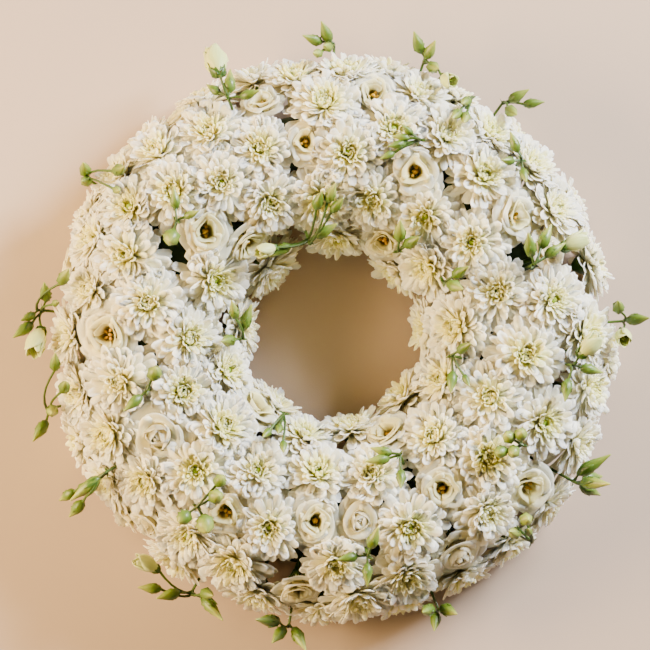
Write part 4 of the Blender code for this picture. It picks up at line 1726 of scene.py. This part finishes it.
class Bud:
    """One bud: where its pedicel leaves the stem, its middle, length and half width."""

    STATES = {"r": BudState.END_ON, "h": BudState.HALF_OPEN}

    # In millimetres: its skin's and its base's least height over the flowers, the shortest
    # pedicel, a pedicel's half width, and the air between two buds of a spray
    SKIN_CLEAR = 1.5
    BASE_CLEAR = 1.6
    PEDICEL = 6.5
    PEDICEL_R = 0.8
    AIR = 0.9

    # The least height of a bud over the core circle, as a share of its distance from it, and how
    # far a bud that is seen from its tip, and any other, turns away from the ring
    LEAST_RISE = 0.26
    TURNED_UP = 1.2
    TURNED_OUT = 0.15

    def __init__(self, word: str, fork: Vec) -> None:
        """Reads a bud.

        Args:
            word: Its place in the photograph, its length and its state.
            fork: Where its pedicel leaves the stem.
        """
        self.state = self.STATES.get(word[-1], BudState.CLOSED)
        px, py, long = numbers(word.rstrip("rh"))
        self.fork = fork
        self.long = long * PIXEL
        self.wide = self.long * self.state.value
        x, y = in_photo(px, py)
        rho = BUD_RHO + self.wide + self.SKIN_CLEAR
        over = max(rho * rho - (math.hypot(x, y) - RING_R) ** 2, (self.LEAST_RISE * rho) ** 2)
        self.middle = np.array([x, y, CORE_Z + math.sqrt(over)])
        self.place()

    def place(self) -> None:
        """Takes its base and direction from its middle, clear of its fork and of the flowers."""
        short = self.long * 0.5 + self.PEDICEL - np.linalg.norm(self.middle - self.fork)
        if short > 0:
            self.middle = self.middle + short * unit(self.middle - self.fork)
        away = unit(self.middle - core_of(self.middle))
        lift = self.TURNED_UP if self.state is BudState.END_ON else self.TURNED_OUT
        self.along = unit(unit(self.middle - self.fork) + lift * away)
        self.base = self.middle - self.along * self.long * 0.5
        low = np.linalg.norm(self.base - core_of(self.base)) - BUD_RHO - self.BASE_CLEAR
        if low < 0:
            self.base = self.base - low * unit(self.base - core_of(self.base))

    def balls(self) -> list[tuple[Vec, float]]:
        """A few balls that its pedicel and the bud itself lie in.

        Returns:
            The middle and the radius of each, in millimetres.
        """
        found = [((self.fork + 2 * self.base) / 3, self.PEDICEL_R), (self.base, self.PEDICEL_R)]
        for t, share in ((0.25, 0.8), (0.5, 1.0), (0.75, 0.7)):
            found.append((self.base + self.along * self.long * t, self.wide * share))
        return found

    def part_from(self, other: "Bud") -> None:
        """Pushes two buds of a spray apart by the deepest that they overlap.

        Args:
            other: The other bud.
        """
        best = (0.0, None)
        for p, r in self.balls():
            for q, t in other.balls():
                over = np.linalg.norm(p - q) - r - t - self.AIR
                if over < best[0]:
                    best = (over, p - q)
        if best[1] is not None:
            push = unit(best[1] + 0.01) * (-0.5 * best[0])
            self.middle = self.middle + push
            other.middle = other.middle - push


@dataclass
class BudSpray(Cutting):
    """Green lisianthus buds on one thin forked stem.

    Attributes:
        plump: A bud's width as a share of its solid's.
        longest: The longest bud that is as plump as that, in millimetres.
        lowest_fork: How far its lowest fork stands over the flowers, in millimetres.
        levels_apart: How far apart the forks are along the stem, in millimetres.
        rounds: How often its buds are parted from each other.
    """

    plump: float = 1.34
    longest: float = 19.5
    lowest_fork: float = 1.2
    levels_apart: float = 2.1
    rounds: int = 60

    # A pedicel's radius from its fork to its bud, in millimetres
    PEDICEL = (1.2, 1.05, 0.98, 0.95, 1.0, 1.2)

    def __post_init__(self) -> None:
        """Places the buds by the rule that the solids follow."""
        self.site = self.sites[0]
        levels = max(len(self.site.buds) // 2, 1)
        self.buds: list[Bud] = []
        for k, word in enumerate(self.site.buds):
            level = levels if k == 0 else (k - 1) % levels
            along = BUD_RHO + self.lowest_fork + self.levels_apart * level - HEAD_RHO
            self.buds.append(Bud(word, self.site.c + self.site.out * along))
        for _ in range(self.rounds):
            for k, a in enumerate(self.buds):
                for b in self.buds[k + 1 :]:
                    a.part_from(b)
            for b in self.buds:
                b.place()

    def sepals(self, b: Bud, shade: float) -> list[bpy.types.Object]:
        """Five thin pointed sepals that hug a bud.

        Args:
            b: The bud.
            shade: Their shade, from 0 to 1.

        Returns:
            The sepals.
        """
        made = []
        open_out = 0.35 if b.state is BudState.HALF_OPEN else 0.0
        slope = math.atan2(2.0 * b.wide, b.long)
        for k in range(5):
            out = spoke(b.along, 2.0 * math.pi * (k + self.draw.uniform(-0.12, 0.12)) / 5)
            bend = Bend(
                base=b.base - 0.2 * b.along + 0.5 * out,
                out=out,
                axis=b.along,
                long=b.long * self.draw.uniform(0.46, 0.68) * (1.0 - open_out),
                wide=max(0.95 * b.wide, 1.6),
                rise=1.48 - 1.45 * slope - 0.3 * open_out,
                curl=1.7 * slope,
                cup=-0.12,
                twist=self.draw.uniform(-0.3, 0.3),
            )
            made.append(self.cuts.leaf.grow(bend, 0.0, shade))
        return made

    def half_open(self, b: Bud) -> list[bpy.types.Object]:
        """Petals of a bud that is just opening, rolled round each other.

        Args:
            b: The bud.

        Returns:
            The petals.
        """
        made = []
        e1, e2 = frame_of(b.along)
        x, y, z = self.cuts.opening.points.T
        u = 2.0 * y
        for k in range(5):
            a0 = 2.0 * math.pi * k / 5
            phase = self.draw.uniform(0, 6.28)
            inner = 0.10 * k
            r = (0.28 + (0.88 - inner) * np.sin(0.84 * math.pi * x)) * b.wide
            r = r + b.wide * (0.16 * smooth(x, 0.8, 1.0) + 0.10 * u)
            r = r + b.wide * 0.08 * smooth(x, 0.6, 1.0) * np.sin(4.0 * u + phase)
            h = b.long * (0.04 + 0.96 * x + 0.04 * smooth(x, 0.6, 1.0) * np.sin(5.0 * u + phase))
            a = a0 + 1.25 * u + 0.9 * x
            radial = np.cos(a)[:, None] * e1 + np.sin(a)[:, None] * e2
            r = r - z * b.long * 0.9
            points = b.base + r[:, None] * radial + h[:, None] * b.along
            made.append(self.cuts.opening.copy(points, 0.0, self.draw.random()))
        return made

    def bud(self, b: Bud) -> list[bpy.types.Object]:
        """One bud with its sepals and the knot under it.

        Args:
            b: The bud.

        Returns:
            Its parts.
        """
        draw, cuts = self.draw, self.cuts
        shade = draw.uniform(0.05, 0.8)
        if b.state is BudState.HALF_OPEN:
            parts = self.half_open(b)
            spin = draw.uniform(0, 6)
            parts.append(cuts.bud.copy(b.base, b.along, 0.86 * b.long, 0.62 * b.wide, 1.0, spin))
        else:
            cut = cuts.round_bud if b.state is BudState.END_ON else cuts.bud
            wide = self.plump * min(1.0, self.longest / b.long) * b.wide
            low = b.base - 0.04 * b.long * b.along
            parts = [cut.copy(low, b.along, 1.14 * b.long, wide, shade, draw.uniform(0, 6))]
        parts += self.sepals(b, draw.uniform(0.2, 0.9))
        knot = b.base - 0.8 * b.along
        parts.append(cuts.calyx.copy(knot, b.along, 1.8 + 0.25 * b.wide, 0.45 * b.wide, 0.4))
        return parts

    def build(self) -> bpy.types.Object:
        """The buds with their pedicels, stem and bracts, as one piece.

        Returns:
            The piece.
        """
        site = self.site
        parts: list[bpy.types.Object] = []
        foot = site.c - site.out * (HEAD_RHO - STEM_END_RHO)
        top = self.buds[0].fork
        stems = [Tube([foot, 0.5 * (foot + top), top], [BUD_STEM_R, BUD_STEM_R, BUD_STEM_R * 0.95])]
        for b in self.buds:
            way = unit(0.55 * site.out + unit(b.base - b.fork))
            bend = b.fork + 0.45 * np.linalg.norm(b.base - b.fork) * way
            points = arc(b.fork, bend, b.base + 0.6 * b.along, len(self.PEDICEL) - 1)
            stems.append(Tube(points, list(self.PEDICEL)))
            parts += self.bud(b)
        parts += self.bracts()
        parts.append(tubes(self.node + "_stems", stems, Look.STEM))
        return Bench.join(self.node + "_buds", parts)

    def bracts(self) -> list[bpy.types.Object]:
        """A pair of small pointed leaves at the lowest fork.

        Returns:
            The two leaves.
        """
        out = self.site.out
        start = self.draw.uniform(0, math.pi)
        low = min((b.fork for b in self.buds), key=lambda p: float((p - self.site.c).dot(out)))
        made = []
        for k in range(2):
            long = self.draw.uniform(4.5, 6.5)
            bend = Bend(low, spoke(out, start + math.pi * k), out, long, 2.4, 0.7, -0.3, 0.2, 0.0)
            made.append(self.cuts.leaf.grow(bend, 0.0, 0.3))
        return made


@dataclass
class Holder:
    """The foam ring and the tray that it lies in, in millimetres.

    Attributes:
        steps: Corners of each ring.
        wall: Thickness of the tray's wall.
        bead: How far the tray's rim is rolled out.
        chamfer: Width of the tray's bevelled corners.
        half: Half the width of the foam.
        shoulder: Height of the foam's straight sides.
    """

    steps: int = 120
    wall: float = 1.8
    bead: float = 0.6
    chamfer: float = 0.8
    half: float = 35.0
    shoulder: float = 38.0

    def foam(self) -> bpy.types.Object:
        """A domed ring of foam with soft shoulders.

        Returns:
            The ring.
        """
        low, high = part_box("foam_ring")
        foot, top = low[2] / MM, high[2] / MM
        half, shoulder = self.half, self.shoulder
        side = [(half, foot), (half, shoulder), (half - 2.5, shoulder + 4.5), (22.5, top - 0.8), (18, top)]
        profile = [(RING_R - d, z) for d, z in side] + [(RING_R + d, z) for d, z in reversed(side)]
        return Bench.turn("foam_ring_cut", profile, self.steps, Look.FOAM)

    def tray(self) -> bpy.types.Object:
        """A shallow moulded ring with a rolled rim.

        Returns:
            The ring.
        """
        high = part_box("tray_ring")[1]
        outer, lip = high[0] / MM, high[2] / MM
        inner = 2.0 * RING_R - outer
        wall, bead, chamfer = self.wall, self.bead, self.chamfer
        side = [
            (chamfer, 0.0),
            (bead, 1.0),
            (bead, lip - 1.6),
            (0.0, lip - 1.2),
            (0.0, lip),
            (wall, lip),
            (wall, wall + chamfer),
            (wall + chamfer, wall),
        ]
        round_out = [(outer - d, z) for d, z in side] + [(inner + d, z) for d, z in reversed(side)]
        profile = [round_out[-1], *round_out[:-1]]
        return Bench.turn("tray_ring_moulding", profile, self.steps, Look.TRAY)


@dataclass
class Studio:
    """The floor, the lights and the camera.

    Attributes:
        eye: Where the camera stands, in metres.
        aim: What it looks at, in metres.
        width: How much of the aim's plane the picture covers, in metres.
        sensor: The width of the camera's sensor, in millimetres.
        sky: The colour of the light all round.
        sky_strength: Its strength.
    """

    eye: tuple[float, float, float] = (-0.084, -0.140, 2.84)
    aim: tuple[float, float, float] = (-0.0074, 0.0084, 0.06)
    width: float = 0.511
    sensor: float = 36.0
    sky: Colour = (1.0, 0.80, 0.54)
    sky_strength: float = 0.07

    def build(self) -> None:
        """Sets the stage."""
        self.floor()
        self.lights()
        self.camera()

    def floor(self) -> None:
        """A plain pale floor."""
        Bench.clear()
        bpy.ops.mesh.primitive_plane_add(size=8.0, location=(0.0, 0.0, 0.0))
        floor = bpy.context.active_object
        floor.name = "floor"
        floor.data.materials.append(Look.FLOOR.material())
        floor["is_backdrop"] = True

    def light(self, name: str, place: Sequence[float], size: float, power: float, colour: Colour) -> None:
        """A square soft light that shines at the wreath.

        Args:
            name: The light's name.
            place: Where it stands, in metres.
            size: Its side in metres.
            power: Its power in watts.
            colour: Its colour.
        """
        data = bpy.data.lights.new(name, "AREA")
        data.shape = "SQUARE"
        data.size = size
        data.energy = power
        data.color = colour
        light = bpy.data.objects.new(name, data)
        bpy.context.scene.collection.objects.link(light)
        light.location = place
        self.point(light, (0.0, 0.0, 0.05))

    @staticmethod
    def point(obj: bpy.types.Object, at: Sequence[float]) -> None:
        """Turns a light or the camera to a point, with the photograph's up upwards.

        Args:
            obj: The light or the camera.
            at: The point, in metres.
        """
        back = unit(np.array(obj.location) - np.array(at, float))
        right = unit(np.cross((0.0, 1.0, 0.0), back))
        up = np.cross(back, right)
        obj.rotation_euler = Matrix((right, up, back)).transposed().to_euler()

    def lights(self) -> None:
        """A key from the upper right, a warm fill from the left, and soft light all round."""
        self.light("key", (1.95, 1.60, 1.30), 1.0, 370.0, (0.94, 0.94, 0.98))
        self.light("warm_fill", (-1.55, 0.05, 0.74), 1.0, 126.0, (1.0, 0.69, 0.34))
        self.light("overhead", (0.0, -1.4, 2.4), 1.0, 4.0, (1.0, 0.84, 0.62))
        world = bpy.data.worlds.new("studio")
        world.use_nodes = True
        sky = next(n for n in world.node_tree.nodes if n.type == "BACKGROUND")
        sky.inputs["Color"].default_value = (*self.sky, 1.0)
        sky.inputs["Strength"].default_value = self.sky_strength
        bpy.context.scene.world = world

    def camera(self) -> None:
        """A camera that looks down on the wreath from where the photograph was taken."""
        data = bpy.data.cameras.new("camera")
        far = float(np.linalg.norm(np.array(self.eye) - np.array(self.aim)))
        data.sensor_width = self.sensor
        data.lens = self.sensor * far / self.width
        camera = bpy.data.objects.new("camera", data)
        bpy.context.scene.collection.objects.link(camera)
        camera.location = self.eye
        self.point(camera, self.aim)
        bpy.context.scene.camera = camera


def share_out(sites: list[Site], nodes: list[str]) -> dict[str, list[Site]]:
    """Finds the solid that each flower belongs to.

    Args:
        sites: Flowers.
        nodes: The solids' names.

    Returns:
        The flowers of each solid, by whose points are nearest to the flower's middle.
    """
    head_high, shut_high, open_high = 0.33, 0.52, 0.12
    clouds = {n: points_of(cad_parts[n].data) / MM for n in nodes}
    shared: dict[str, list[Site]] = {n: [] for n in nodes}
    for s in sites:
        high = head_high if s.kind is not Kind.BLOOM else (shut_high if s.shut else open_high)
        middle = s.c + high * s.size * s.n
        best = min(nodes, key=lambda n: float(np.linalg.norm(clouds[n] - middle, axis=1).min()))
        shared[best].append(s)
    return shared


def hand_over(piece: bpy.types.Object, node: str) -> None:
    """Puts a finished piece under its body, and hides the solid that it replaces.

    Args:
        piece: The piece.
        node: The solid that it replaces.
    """
    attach(piece, "root")
    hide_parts(node)
    log.info("%s: %d faces", piece.name, len(piece.data.polygons))


def main() -> None:
    """Builds every piece over its solid, then the stage."""
    logging.basicConfig(level=logging.INFO, format="%(message)s")
    Bench.clear()
    layout = Layout()
    cuts = Cuts()
    draw = random.Random(SEED)
    names = sorted(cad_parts)

    mums = layout.of(Kind.MUM, Kind.FILL)
    shared = share_out(mums, [n for n in names if n.startswith("chrysanthemum")])
    for node, heads in shared.items():
        hand_over(Chrysanthemums(node, heads, cuts, draw).build(), node)

    shared = share_out(layout.of(Kind.BLOOM), [n for n in names if n.startswith("lisianthus")])
    for node, blooms in shared.items():
        hand_over(Lisianthus(node, blooms, cuts, draw).build(), node)

    for number, site in enumerate(layout.of(Kind.BUD), 1):
        node = f"bud_spray_{number:02d}"
        hand_over(BudSpray(node, [site], cuts, draw).build(), node)

    holder = Holder()
    hand_over(holder.foam(), "foam_ring")
    hand_over(holder.tray(), "tray_ring")

    Studio().build()
    total = sum(len(p.data.loops) - 2 * len(p.data.polygons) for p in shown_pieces() if p.type == "MESH")
    log.info("about %d triangles in all", total)


if __name__ == "__main__":
    main()
